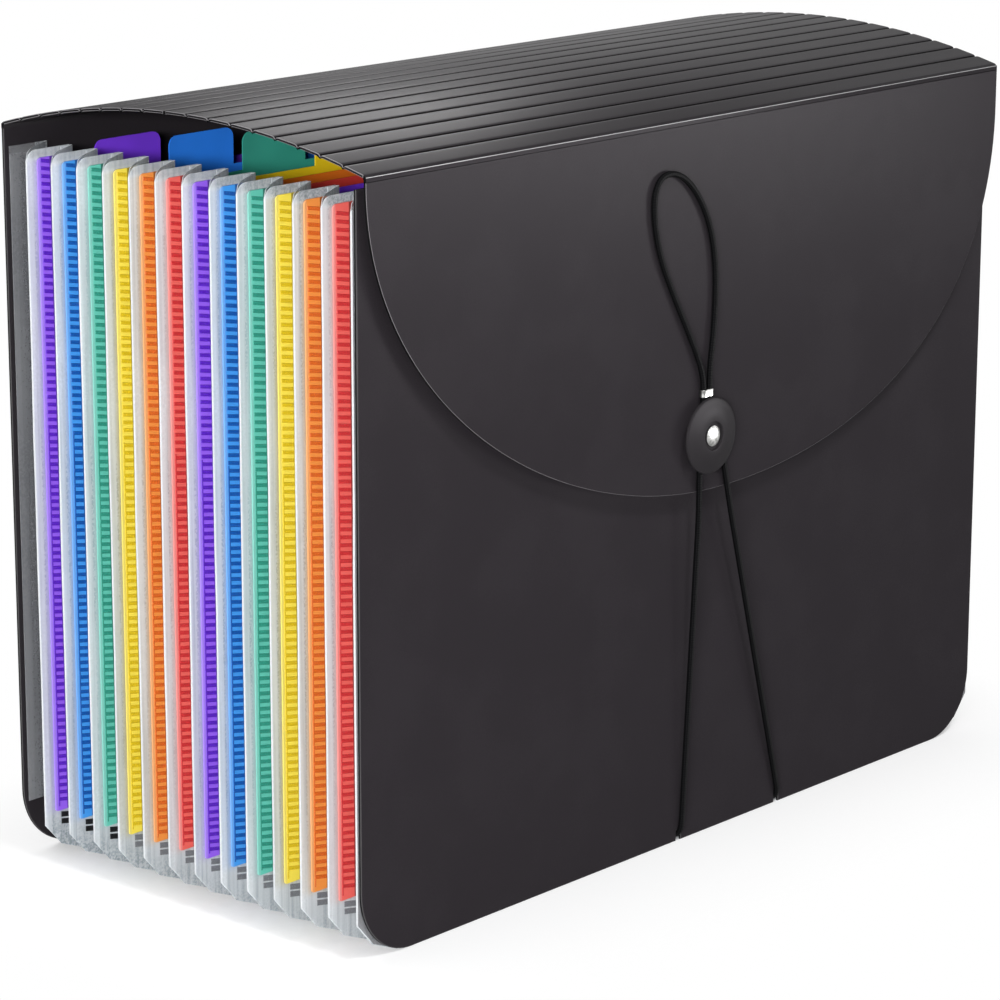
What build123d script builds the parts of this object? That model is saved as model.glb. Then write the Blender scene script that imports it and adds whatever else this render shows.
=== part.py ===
from build123d import *
from math import asin, cos, pi, radians, sin, tan
import os

# Accordion file folder with thirteen pockets, standing open to its full depth.
# Millimetres, +Z up, the front faces -Y, the origin is under the middle of the whole object.

# Overall size
width = 330.0
depth = 157.6
hinge_height = 249.0
front_drop = 4.0
pocket_count = 13
sheet = 1.0
cover_corner_radius = 23.0

# Lid: one scored sheet, bowed over the pockets
strip_count = 17
arch_rise = 11.2
strip_bow = 0.5
score_gap = 0.3
hinge_gap = 0.2
edge_clearance = 0.25

# Flap: its lowest point hangs a little to the right of the middle
flap_gap = 3.2
flap_length = 126.1
flap_tip_x = 7.0
flap_left_drop = 2.0
flap_left_reach = 74.0
flap_left_sweep = 78.0
flap_right_drop = 14.7
flap_right_reach = 67.0
flap_right_sweep = 97.0

# Dividers with a staggered tab each
divider_thickness = 0.5
divider_bottom = 17.0
divider_drop = 20.0
divider_margin = 3.5
divider_corner_radius = 0.8
ear_width = 14.0
ear_rise = 9.7
ear_radius = 1.5
tab_width = 29.5
tab_rise = 12.5
tab_radius = 3.5
tab_span = 273.0

# Gussets: folded film round the two sides and the bottom of each pocket
film = 0.3
weld_gap = 0.1
fold_width = 18.5
slant_width = 0.6
gusset_drop = 7.5
gusset_bottom = 0.4
gusset_overhang = 0.7
gusset_top_radius = 4.0
inner_flange = 4.5
rear_flange_inset = 2.0
rear_flange_bottom = 18.5

# Two bends at each lower corner of a gusset: runs in from the side, rises from the bottom
foot_run = 18.0
elbow_run = 7.0
elbow_rise = 4.4
knee_rise = 12.4
valley_foot_run = 30.0
valley_elbow_run = 22.5
valley_elbow_rise = 20.3
valley_knee_rise = 23.5

# Button on the flap
button_x = -2.0
button_rise = 19.7
button_diameter = 26.0
button_rim = 1.3
button_dome = 0.8
dome_shoulder = 0.6
hub_diameter = 5.2
hub_gap = 0.1
recess_diameter = 9.6
recess_depth = 1.0
shank_diameter = 3.0
shank_clearance = 0.05
head_diameter = 7.0
head_rise = 1.3
washer_diameter = 9.0
washer_thickness = 0.6
tail_diameter = 5.0
tail_thickness = 0.8
rivet_gap = 0.1

# Elastic cord, its crimp and the notches that it is hooked through
cord_diameter = 2.0
cord_lift = 1.5
cord_lay = 1.15
cord_room = 2.6
cord_clearance = 0.1
loop_lift = 0.2
bend_share = 0.45
left_notch_x = -7.3
right_notch_x = 47.6
notch_width = 2.5
notch_depth = 3.8
notch_run_height = 1.6
notch_bend = 2.0
knot_diameter = 4.0
knot_height = 2.1
film_cutout = 6.0
crimp_x = -2.7
crimp_rise = 14.5
crimp_length = 2.5
crimp_wall = 0.25
crimp_clearance = 0.1
strand_spacing = 3.2

# Depths and heights that the rest is placed by
rivet_top = cord_room + button_rim + button_dome - recess_depth + rivet_gap + head_rise
flap_face_to_front = flap_gap + sheet
y_back = (depth + flap_face_to_front + rivet_top) / 2
y_front = y_back - depth
y_flap = y_front - flap_face_to_front
pocket_pitch = (depth - 2 * sheet) / pocket_count
half_width = width / 2
gusset_half = half_width + gusset_overhang
front_height = hinge_height - front_drop
flap_tip_height = hinge_height - flap_length
flap_left_height = hinge_height - flap_left_drop
flap_right_height = hinge_height - flap_right_drop
button_height = flap_tip_height + button_rise
divider_edge = hinge_height - divider_drop
gusset_top = hinge_height - gusset_drop
ridge_bends = [(foot_run, 0), (elbow_run, elbow_rise), (0, knee_rise)]
valley_bends = [
    (valley_foot_run, fold_width),
    (valley_elbow_run, valley_elbow_rise),
    (fold_width, valley_knee_rise),
]

os.makedirs("parts", exist_ok=True)


def front_plane(y):
    """Sketch plane at depth y, drawn in X and Z, that extrudes towards the front."""
    return Plane.XZ.offset(-y)


def save(part, name):
    """Label one finished piece and write its STEP file."""
    part.label = name
    export_step(part, f"parts/{name}.step")


def sheet_rear_face(index):
    """Depth of the rear face of sheet 1 to 13: twelve dividers and the front cover."""
    half = 0 if index == pocket_count else divider_thickness / 2
    return y_back - sheet - pocket_pitch * index + half


def sheet_front_face(index):
    """Depth of the front face of sheet 0 to 12: the back cover and twelve dividers."""
    half = 0 if index == 0 else divider_thickness / 2
    return y_back - sheet - pocket_pitch * index - half


def u_line(inset):
    """Corner points of the gusset's U outline, moved inwards from the ridge by inset."""
    share = inset / fold_width
    right = []
    for (ridge_run, ridge_rise), (valley_run, valley_rise) in zip(ridge_bends, valley_bends):
        run = ridge_run + (valley_run - ridge_run) * share
        rise = ridge_rise + (valley_rise - ridge_rise) * share
        right.append((gusset_half - run, gusset_bottom + rise))
    right.append((gusset_half - inset, gusset_top))
    left = [(-x, z) for x, z in reversed(right)]
    return left + right


def u_ribbon(outer_inset, inner_inset):
    """Draw a U-shaped ribbon between two insets in the current sketch."""
    Polygon(*u_line(outer_inset), *reversed(u_line(inner_inset)), align=None)


# Back cover
with BuildPart() as back_cover:
    with BuildSketch(front_plane(y_back)) as back_outline:
        Rectangle(width, hinge_height - sheet - edge_clearance, align=(Align.CENTER, Align.MIN))
        fillet(back_outline.vertices().group_by(Axis.Y)[0], cover_corner_radius)
    extrude(amount=sheet)
save(back_cover.part, "back_cover")

# Front cover, notched at the bottom for the elastic cord
with BuildPart() as front_cover:
    with BuildSketch(front_plane(y_front + sheet)) as front_outline:
        Rectangle(width, front_height, align=(Align.CENTER, Align.MIN))
        fillet(front_outline.vertices().group_by(Axis.Y)[0], cover_corner_radius)
        with Locations((left_notch_x, 0), (right_notch_x, 0)):
            Rectangle(notch_width, notch_depth, align=(Align.CENTER, Align.MIN), mode=Mode.SUBTRACT)
    extrude(amount=sheet)
save(front_cover.part, "front_cover")

# Lid strips between the score lines, which lie on an arc from the back cover to the flap
arch_chord = y_back - y_flap
arch_radius = (arch_chord**2 / 4 + arch_rise**2) / (2 * arch_rise)
arch_half_angle = asin(arch_chord / 2 / arch_radius)
arch_middle = (y_back + y_flap) / 2
arch_centre_height = hinge_height + arch_rise - arch_radius


def score_point(index):
    """Score line 0 to 17 on the arch, counted from the back, as Y and Z."""
    angle = arch_half_angle * (1 - 2 * index / strip_count)
    return Vector(arch_middle + arch_radius * sin(angle), arch_centre_height + arch_radius * cos(angle))


for strip in range(1, strip_count + 1):
    rear_score = score_point(strip - 1)
    front_score = score_point(strip)
    along = (front_score - rear_score).normalized()
    outward = Vector(along.Y, -along.X)
    rear_gap = hinge_gap if strip == 1 else score_gap / 2
    front_gap = hinge_gap if strip == strip_count else score_gap / 2
    rear_top = rear_score + along * rear_gap
    front_top = front_score - along * front_gap
    crown = (rear_top + front_top) / 2 + outward * strip_bow
    under = outward * -sheet
    with BuildPart() as lid_strip:
        with BuildSketch(Plane.YZ):
            with BuildLine():
                ThreePointArc(rear_top, crown, front_top)
                Line(front_top, front_top + under)
                ThreePointArc(front_top + under, crown + under, rear_top + under)
                Line(rear_top + under, rear_top)
            make_face()
        extrude(amount=half_width, both=True)
    save(lid_strip.part, f"lid_strip_{strip:02d}")

# Flap, hanging from the lid's front edge
with BuildPart() as flap:
    with BuildSketch(front_plane(y_flap + sheet)):
        flap_top = hinge_height - sheet - edge_clearance
        tip = (flap_tip_x, flap_tip_height)
        left_end = (-half_width, flap_left_height)
        right_end = (half_width, flap_right_height)
        with BuildLine():
            Polyline(right_end, (half_width, flap_top), (-half_width, flap_top), left_end)
            Bezier(
                left_end,
                (-half_width, flap_left_height - flap_left_reach),
                (flap_tip_x - flap_left_sweep, flap_tip_height),
                tip,
            )
            Bezier(
                tip,
                (flap_tip_x + flap_right_sweep, flap_tip_height),
                (half_width, flap_right_height - flap_right_reach),
                right_end,
            )
        make_face()
        with Locations((button_x, button_height)):
            Circle(shank_diameter / 2 + shank_clearance, mode=Mode.SUBTRACT)
    extrude(amount=sheet)
save(flap.part, "flap")

# Dividers, each with a weld margin and an ear at both sides and one index tab
divider_count = pocket_count - 1
divider_half = half_width - divider_margin
tab_pitch = (tab_span - tab_width) / (divider_count - 1)
for number in range(1, divider_count + 1):
    tab_x = (tab_width - tab_span) / 2 + tab_pitch * (number - 1)
    ear_x = divider_half - ear_width / 2
    with BuildPart() as divider:
        with BuildSketch(front_plane(sheet_rear_face(number))) as leaf:
            with Locations((0, divider_bottom)):
                Rectangle(2 * divider_half, divider_edge - divider_bottom, align=(Align.CENTER, Align.MIN))
            with Locations((-ear_x, divider_edge), (ear_x, divider_edge)):
                Rectangle(ear_width, ear_rise, align=(Align.CENTER, Align.MIN))
            with Locations((tab_x, divider_edge)):
                Rectangle(tab_width, tab_rise, align=(Align.CENTER, Align.MIN))
            fillet(leaf.vertices().group_by(Axis.Y)[-2], ear_radius)
            fillet(leaf.vertices().group_by(Axis.Y)[-1], tab_radius)
            fillet(leaf.vertices().group_by(Axis.Y)[0], divider_corner_radius)
        extrude(amount=divider_thickness)
    save(divider.part, f"divider_{number:02d}")

# Gussets: a flange on the sheet behind, a slanting facet out to the ridge, a facet on the sheet in front
for number in range(1, pocket_count + 1):
    y_rear = sheet_front_face(number - 1) - weld_gap
    y_fore = sheet_rear_face(number) + weld_gap
    with BuildPart() as gusset:
        with BuildSketch(front_plane(y_rear)):
            u_ribbon(fold_width - inner_flange, fold_width)
            if number == 1:
                strip_x = half_width - (rear_flange_inset + fold_width) / 2
                strip_z = (rear_flange_bottom + gusset_top) / 2
                with Locations((-strip_x, strip_z), (strip_x, strip_z)):
                    Rectangle(fold_width - rear_flange_inset, gusset_top - rear_flange_bottom)
        extrude(amount=film)
        with BuildSketch(front_plane(y_fore + film)):
            u_ribbon(0, fold_width)
        extrude(amount=film)
        with BuildSketch(front_plane(y_rear - film)):
            u_ribbon(fold_width - slant_width, fold_width)
        with BuildSketch(front_plane(y_fore + film)):
            u_ribbon(0, slant_width)
        loft(ruled=True)
        with BuildSketch(front_plane(y_rear)) as gusset_outline:
            Rectangle(2 * gusset_half, gusset_top, align=(Align.CENTER, Align.MIN))
            fillet(gusset_outline.vertices().group_by(Axis.Y)[-1], gusset_top_radius)
        extrude(amount=y_rear - y_fore, mode=Mode.INTERSECT)
        if number == pocket_count:
            with Locations((left_notch_x, y_fore, 0), (right_notch_x, y_fore, 0)):
                Box(
                    film_cutout,
                    film_cutout,
                    film_cutout,
                    align=(Align.CENTER, Align.MIN, Align.MIN),
                    mode=Mode.SUBTRACT,
                )
    save(gusset.part, f"gusset_{number:02d}")

# Button disc: a domed disc on a hub, free to turn on the rivet
bore_radius = shank_diameter / 2 + shank_clearance
disc_back = cord_room
rim_front = disc_back + button_rim
dome_front = rim_front + button_dome
recess_floor = dome_front - recess_depth
button_plane = Plane(origin=(button_x, y_flap, button_height), x_dir=(1, 0, 0), z_dir=(0, 0, 1))
button_axis = Axis((button_x, y_flap, button_height), (0, -1, 0))


def out(radius, height):
    """Point of a button profile: radius from its axis, height in front of the flap."""
    return (radius, -height)


with BuildPart() as button_disc:
    with BuildSketch(button_plane):
        rim = button_diameter / 2
        recess = recess_diameter / 2
        hub = hub_diameter / 2
        middle_radius = (rim + recess) / 2
        middle_front = rim_front + dome_shoulder
        with BuildLine():
            Polyline(
                out(recess, dome_front),
                out(recess, recess_floor),
                out(bore_radius, recess_floor),
                out(bore_radius, hub_gap),
                out(hub, hub_gap),
                out(hub, disc_back),
                out(rim, disc_back),
                out(rim, rim_front),
            )
            ThreePointArc(
                out(rim, rim_front),
                out(middle_radius, middle_front),
                out(recess, dome_front),
            )
        make_face()
    revolve(axis=button_axis)
save(button_disc.part, "button_disc")

# Rivet: domed head in the disc's recess, shank through the flap, clenched tail on the washer
head_seat = recess_floor + rivet_gap
washer_front = -sheet - rivet_gap
tail_front = washer_front - washer_thickness - rivet_gap
with BuildPart() as button_rivet:
    with BuildSketch(button_plane):
        head = head_diameter / 2
        shank = shank_diameter / 2
        tail = tail_diameter / 2
        head_top = head_seat + head_rise
        dome_radius = (head**2 + head_rise**2) / (2 * head_rise)
        dome_half = asin(head / dome_radius) / 2
        with BuildLine():
            Polyline(
                out(0, head_top),
                out(0, tail_front - tail_thickness),
                out(tail, tail_front - tail_thickness),
                out(tail, tail_front),
                out(shank, tail_front),
                out(shank, head_seat),
                out(head, head_seat),
            )
            ThreePointArc(
                out(head, head_seat),
                out(dome_radius * sin(dome_half), head_top - dome_radius * (1 - cos(dome_half))),
                out(0, head_top),
            )
        make_face()
    revolve(axis=button_axis)
save(button_rivet.part, "button_rivet")

# Washer behind the flap
with BuildPart() as rivet_washer:
    with BuildSketch(front_plane(y_flap - washer_front + washer_thickness)):
        with Locations((button_x, button_height)):
            Circle(washer_diameter / 2)
            Circle(bore_radius, mode=Mode.SUBTRACT)
    extrude(amount=washer_thickness)
save(rivet_washer.part, "rivet_washer")

# Elastic cord: left notch, left leg, round the hub, crimp, finger loop, crimp, hub, right leg, right notch
y_lay = y_flap - cord_lay
y_lift = y_flap - cord_lift
y_leg = y_front - cord_diameter / 2 - cord_clearance
y_knot = y_front + sheet + cord_clearance + knot_diameter / 2
left_strand = crimp_x - strand_spacing / 2
right_strand = crimp_x + strand_spacing / 2
cord_points = [
    (left_notch_x, y_knot, notch_run_height),
    (left_notch_x, y_leg, notch_run_height),
    (-5.2, y_lay, button_height - 25.6),
    (-5.9, y_lift, button_height),
    (left_strand, y_lift, button_height + 11.0),
    (left_strand, y_lift, button_height + 20.4),
    (-8.9, y_lay - loop_lift, button_height + 30.4),
    (-20.3, y_lay, button_height + 49.9),
    (-27.3, y_lay, button_height + 62.9),
    (-30.6, y_lay, button_height + 74.9),
    (-30.9, y_lay, button_height + 84.4),
    (-27.6, y_lay, button_height + 89.8),
    (-20.8, y_lay, button_height + 90.6),
    (-13.2, y_lay, button_height + 87.0),
    (-5.6, y_lay, button_height + 78.6),
    (-0.6, y_lay, button_height + 68.4),
    (1.8, y_lay, button_height + 56.9),
    (2.0, y_lay, button_height + 43.9),
    (0.6, y_lay - loop_lift, button_height + 31.9),
    (right_strand, y_lift, button_height + 22.4),
    (right_strand, y_lift, button_height + 9.9),
    (4.5, y_lift, button_height + 0.9),
    (11.2, y_lay, button_height - 25.6),
    (right_notch_x, y_leg, notch_run_height),
    (right_notch_x, y_knot, notch_run_height),
]
route = [Vector(*point) for point in cord_points]
bend_radii = []
for before, corner, after in zip(route, route[1:], route[2:]):
    turn = (corner - before).get_angle(after - corner)
    shorter = min((corner - before).length, (after - corner).length)
    bend_radii.append(bend_share * shorter / tan(radians(turn / 2)))
bend_radii[0] = notch_bend
bend_radii[-1] = notch_bend
with BuildPart() as elastic_cord:
    with BuildLine() as cord_path:
        FilletPolyline(*cord_points, radius=bend_radii)
    with BuildSketch(Plane(origin=cord_path.line @ 0, z_dir=cord_path.line % 0)):
        Circle(cord_diameter / 2)
    sweep()
    tube_volume = elastic_cord.part.volume
    with Locations((left_notch_x, y_knot, knot_height), (right_notch_x, y_knot, knot_height)):
        Sphere(knot_diameter / 2)
save(elastic_cord.part, "elastic_cord")
cord_length = cord_path.wire().length
section = pi * cord_diameter**2 / 4
print("cord bend radii", [round(radius, 1) for radius in bend_radii])
print("cord length", round(cord_length, 1))
print("cord volume over section times length", round(tube_volume / section / cord_length, 4))

# Crimp that ties the two strands together under the finger loop
with BuildPart() as cord_crimp:
    bore_height = cord_diameter + 2 * crimp_clearance
    bore_length = strand_spacing + bore_height
    with BuildSketch(Plane.XY.offset(button_height + crimp_rise - crimp_length / 2)):
        with Locations((crimp_x, y_lift)):
            SlotOverall(bore_length + 2 * crimp_wall, bore_height + 2 * crimp_wall)
            SlotOverall(bore_length, bore_height, mode=Mode.SUBTRACT)
    extrude(amount=crimp_length)
save(cord_crimp.part, "cord_crimp")
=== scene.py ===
"""Looks of an accordion file folder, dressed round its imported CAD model.

Sizes in the classes are millimetres and meshes are metres, in the CAD frame: +X runs along the
covers, -Y faces the front and +Z is up.
"""

import logging
import math
from collections.abc import Callable, Sequence
from dataclasses import dataclass, field, replace
from enum import Enum

import bmesh
import bpy
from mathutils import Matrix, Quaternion, Vector


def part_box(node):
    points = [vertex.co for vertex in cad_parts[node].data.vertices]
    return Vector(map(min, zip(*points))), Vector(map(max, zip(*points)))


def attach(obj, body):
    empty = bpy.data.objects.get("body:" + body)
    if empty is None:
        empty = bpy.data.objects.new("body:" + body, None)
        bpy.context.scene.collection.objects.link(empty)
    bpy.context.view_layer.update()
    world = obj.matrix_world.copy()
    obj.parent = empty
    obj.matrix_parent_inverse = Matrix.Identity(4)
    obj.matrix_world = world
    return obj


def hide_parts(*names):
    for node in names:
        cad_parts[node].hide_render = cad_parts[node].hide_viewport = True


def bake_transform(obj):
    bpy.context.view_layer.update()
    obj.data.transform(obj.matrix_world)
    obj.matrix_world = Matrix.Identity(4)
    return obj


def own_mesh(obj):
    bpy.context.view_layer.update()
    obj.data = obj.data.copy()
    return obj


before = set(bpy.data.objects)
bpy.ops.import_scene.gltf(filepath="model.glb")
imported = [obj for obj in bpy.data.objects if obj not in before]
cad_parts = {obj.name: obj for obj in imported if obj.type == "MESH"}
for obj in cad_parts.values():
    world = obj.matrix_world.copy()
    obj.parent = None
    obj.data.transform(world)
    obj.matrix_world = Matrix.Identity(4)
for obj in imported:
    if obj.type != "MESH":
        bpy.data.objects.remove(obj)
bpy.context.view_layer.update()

MM = 0.001
MERGE_DISTANCE = 1e-7
MITRE_LIMIT = 0.2
CORD_NOTCHES = (-7.3, 47.6)
Point = tuple[float, float]
Colour = tuple[float, float, float, float]
WHITE: Colour = (1.0, 1.0, 1.0, 1.0)
log = logging.getLogger("file_folder")


def paint(red: int, green: int, blue: int) -> Colour:
    """Turn an sRGB colour into the linear colour that a shader takes.

    Args:
        red: Red, from 0 to 255.
        green: Green, from 0 to 255.
        blue: Blue, from 0 to 255.

    Returns:
        The linear colour, opaque.
    """
    shares = [part / 255 for part in (red, green, blue)]
    linear = [s / 12.92 if s <= 0.04045 else ((s + 0.055) / 1.055) ** 2.4 for s in shares]
    return (linear[0], linear[1], linear[2], 1.0)


def dim(colour: Colour, share: float) -> Colour:
    """Darker colour of the same hue."""
    return (share * colour[0], share * colour[1], share * colour[2], 1.0)


def node_box(node: str) -> tuple[Vector, Vector]:
    """Lowest and highest corner of a CAD node, in millimetres."""
    low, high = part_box(node)
    return low / MM, high / MM


class Value:
    """One socket of a node tree, with arithmetic that adds Math nodes."""

    def __init__(self, shader: "Shader", socket: bpy.types.NodeSocket) -> None:
        """Keep the tree and the socket."""
        self.shader = shader
        self.socket = socket

    def _math(self, operation: str, first: "Value | float", second: "Value | float") -> "Value":
        """Add one Math node."""
        return self.shader.node("ShaderNodeMath", {"operation": operation}, {0: first, 1: second})

    def __add__(self, other: "Value | float") -> "Value":
        """Sum."""
        return self._math("ADD", self, other)

    __radd__ = __add__

    def __mul__(self, other: "Value | float") -> "Value":
        """Product."""
        return self._math("MULTIPLY", self, other)

    __rmul__ = __mul__

    def __sub__(self, other: "Value | float") -> "Value":
        """Difference."""
        return self._math("SUBTRACT", self, other)

    def __rsub__(self, other: float) -> "Value":
        """Difference from a number."""
        return self._math("SUBTRACT", other, self)

    def __abs__(self) -> "Value":
        """Size without sign."""
        return self._math("ABSOLUTE", self, 0.0)

    def sine(self) -> "Value":
        """Sine of the value in radians."""
        return self._math("SINE", self, 0.0)

    def ramp(self, start: float, end: float) -> "Value":
        """Turn the value into a smooth step.

        Args:
            start: Where the step is 0.
            end: Where it reaches 1.

        Returns:
            The step, from 0 to 1.
        """
        return self.shader.node(
            "ShaderNodeMapRange",
            {"interpolation_type": "SMOOTHSTEP"},
            {"Value": self, "From Min": start, "From Max": end},
        )


class Shader:
    """Adds nodes to one node tree."""

    def __init__(self, tree: bpy.types.NodeTree) -> None:
        """Start from an empty tree."""
        tree.nodes.clear()
        self.tree = tree

    def node(
        self,
        kind: str,
        settings: dict[str, object] | None = None,
        sockets: dict[str | int, object] | None = None,
        output: str | int = 0,
    ) -> Value | None:
        """Add one node.

        Args:
            kind: The node's Blender type.
            settings: Properties, set first.
            sockets: Values, or other nodes' outputs, for its inputs.
            output: Which output to return.

        Returns:
            The chosen output, or None where the node has none.
        """
        made = self.tree.nodes.new(kind)
        for name, setting in (settings or {}).items():
            setattr(made, name, setting)
        for key, value in (sockets or {}).items():
            if isinstance(value, Value):
                self.tree.links.new(value.socket, made.inputs[key])
            else:
                made.inputs[key].default_value = value
        return Value(self, made.outputs[output]) if made.outputs else None

    def place(self) -> Value:
        """Object coordinates, which are the CAD frame in metres."""
        return self.node("ShaderNodeTexCoord", output="Object")

    def axes(self, place: Value) -> tuple[Value, Value, Value]:
        """Split coordinates by axis.

        Args:
            place: Coordinates in metres.

        Returns:
            X, Y and Z in millimetres.
        """
        kind, sockets = "ShaderNodeSeparateXYZ", {0: place}
        x, y, z = (self.node(kind, sockets=sockets, output=axis) for axis in "XYZ")
        return x * (1 / MM), y * (1 / MM), z * (1 / MM)

    def stretch(self, place: Value, factors: tuple[float, float, float]) -> Value:
        """Scale coordinates by axis, so that a texture runs along one of them."""
        return self.node("ShaderNodeVectorMath", {"operation": "MULTIPLY"}, {0: place, 1: factors})

    def noise(self, place: Value, size: float, detail: float = 2.0) -> Value:
        """Noise of 0 to 1 with features of about that size in millimetres."""
        sockets = {"Vector": place, "Scale": 1 / (size * MM), "Detail": detail}
        return self.node("ShaderNodeTexNoise", None, sockets)

    def mix(self, share: Value | float, first: Value | Colour, second: Value | Colour) -> Value:
        """Blend two colours."""
        settings = {"data_type": "RGBA", "clamp_factor": True}
        return self.node("ShaderNodeMix", settings, {0: share, 6: first, 7: second}, 2)

    def bump(self, height: Value, depth: float) -> Value:
        """Normal of a relief that is depth millimetres high."""
        sockets = {"Height": height, "Distance": depth * MM, "Strength": 1.0}
        return self.node("ShaderNodeBump", None, sockets)

    def seen(self) -> Value:
        """Tell rays that show the surroundings, straight or in gloss or glass, from other rays.

        Returns:
            1 for such rays, or else 0.
        """
        names = ("Is Camera Ray", "Is Glossy Ray", "Is Transmission Ray")
        straight, gloss, glass = (self.node("ShaderNodeLightPath", output=name) for name in names)
        settings = {"operation": "ADD", "use_clamp": True}
        return self.node("ShaderNodeMath", settings, {0: straight + gloss, 1: glass})

    def surface(self, sockets: dict[str, object]) -> None:
        """Close a material with a Principled shader."""
        skin = self.node("ShaderNodeBsdfPrincipled", None, sockets)
        self.node("ShaderNodeOutputMaterial", None, {"Surface": skin})


class Finish:
    """What the finishes share: each has a name, and a method that adds its nodes."""

    name: str

    def add_nodes(self, shader: Shader) -> None:
        """Add the finish's own nodes."""
        raise NotImplementedError

    def material(self) -> bpy.types.Material:
        """Make the material.

        Returns:
            The finished material.
        """
        material = bpy.data.materials.new(self.name)
        material.use_nodes = True
        self.add_nodes(Shader(material.node_tree))
        return material


@dataclass(frozen=True)
class SheetFinish(Finish):
    """Satin polypropylene sheet with a fine leathery grain."""

    name: str
    colour: Colour
    cloud: Colour
    roughness: float = 0.42
    grain: float = 0.45
    grain_depth: float = 0.012
    patch: float = 35.0
    wave: float = 90.0
    wave_share: float = 5.0
    gloss: float = 0.35
    sheen: Colour = (1.0, 0.93, 1.0, 1.0)
    patch_roughness: float = 0.08
    grain_roughness: float = 0.06

    def add_nodes(self, shader: Shader) -> None:
        """Add the finish's own nodes.

        Args:
            shader: Shader on the material's tree.
        """
        place = shader.place()
        grain = shader.noise(place, self.grain, 3.0)
        patches = shader.noise(place, self.patch)
        waves = shader.noise(place, self.wave, 0.0)
        relief = grain + waves * self.wave_share
        least = self.roughness - (self.patch_roughness + self.grain_roughness) / 2
        worn = patches * self.patch_roughness + grain * self.grain_roughness
        shader.surface(
            {
                "Base Color": shader.mix(patches.ramp(0.35, 0.75), self.colour, self.cloud),
                "Roughness": worn + least,
                "Specular IOR Level": self.gloss,
                "Specular Tint": self.sheen,
                "Normal": shader.bump(relief, self.grain_depth),
            }
        )


@dataclass(frozen=True)
class DividerFinish(Finish):
    """Coloured sheet: paler on the welded margins, with a band of painted shade along their inner
    edge.
    """

    name: str
    colour: Colour
    margin: Colour
    frosted: Colour
    seam: float
    strip: float
    seam_width: float = 2.4
    margin_top: float = 238.5
    roughness: float = 0.38
    cloud_share: float = 0.82
    seam_shade_share: float = 0.22
    seam_shade_cover: float = 0.85
    frosting: float = 0.34
    grain: float = 0.5
    grain_depth: float = 0.01
    patch: float = 25.0

    def add_nodes(self, shader: Shader) -> None:
        """Add the finish's own nodes.

        Args:
            shader: Shader on the material's tree.
        """
        place = shader.place()
        across, _, up = shader.axes(place)
        grain = shader.noise(place, self.grain, 3.0)
        patches = shader.noise(place, self.patch)
        side = abs(across)
        below = 1 - up.ramp(self.margin_top, self.margin_top + 0.5)
        inner = self.seam - self.seam_width
        outer = side.ramp(inner - 0.3, inner + 0.3) * below
        # A band inside the weld bars is painted dark: painted shade where the pleat in front shades
        # the sheet.
        seam_shade = (1 - side.ramp(self.seam - 0.25, self.seam + 0.25)) * outer
        deep, dark = dim(self.colour, self.cloud_share), dim(self.colour, self.seam_shade_share)
        body = shader.mix(patches.ramp(0.3, 0.8), self.colour, deep)
        frosting = side.ramp(self.strip - 0.2, self.strip + 0.8) * below * self.frosting
        edged = shader.mix(frosting, shader.mix(outer, body, self.margin), self.frosted)
        shader.surface(
            {
                "Base Color": shader.mix(seam_shade * self.seam_shade_cover, edged, dark),
                "Roughness": grain * 0.1 + self.roughness,
                "Specular IOR Level": 0.3,
                "Normal": shader.bump(grain, self.grain_depth),
            }
        )


@dataclass(frozen=True)
class WeldFinish(Finish):
    """Weld bar, glossier than the sheet round it, in a given colour that is darker than the sheet
    as painted shade.
    """

    name: str
    colour: Colour
    paling: Point = (1.5, 0.01)
    grain: float = 0.4
    grain_depth: float = 0.02

    def add_nodes(self, shader: Shader) -> None:
        """Add the finish's own nodes.

        Args:
            shader: Shader on the material's tree.
        """
        grain = shader.noise(shader.place(), self.grain, 3.0)
        scale, lift = self.paling
        pale = tuple(min(1.0, scale * part + lift) for part in self.colour[:3]) + (1.0,)
        shader.surface(
            {
                "Base Color": shader.mix(grain.ramp(0.45, 0.8), self.colour, pale),
                "Roughness": grain * 0.2 + 0.25,
                "Normal": shader.bump(grain, self.grain_depth),
            }
        )


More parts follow.
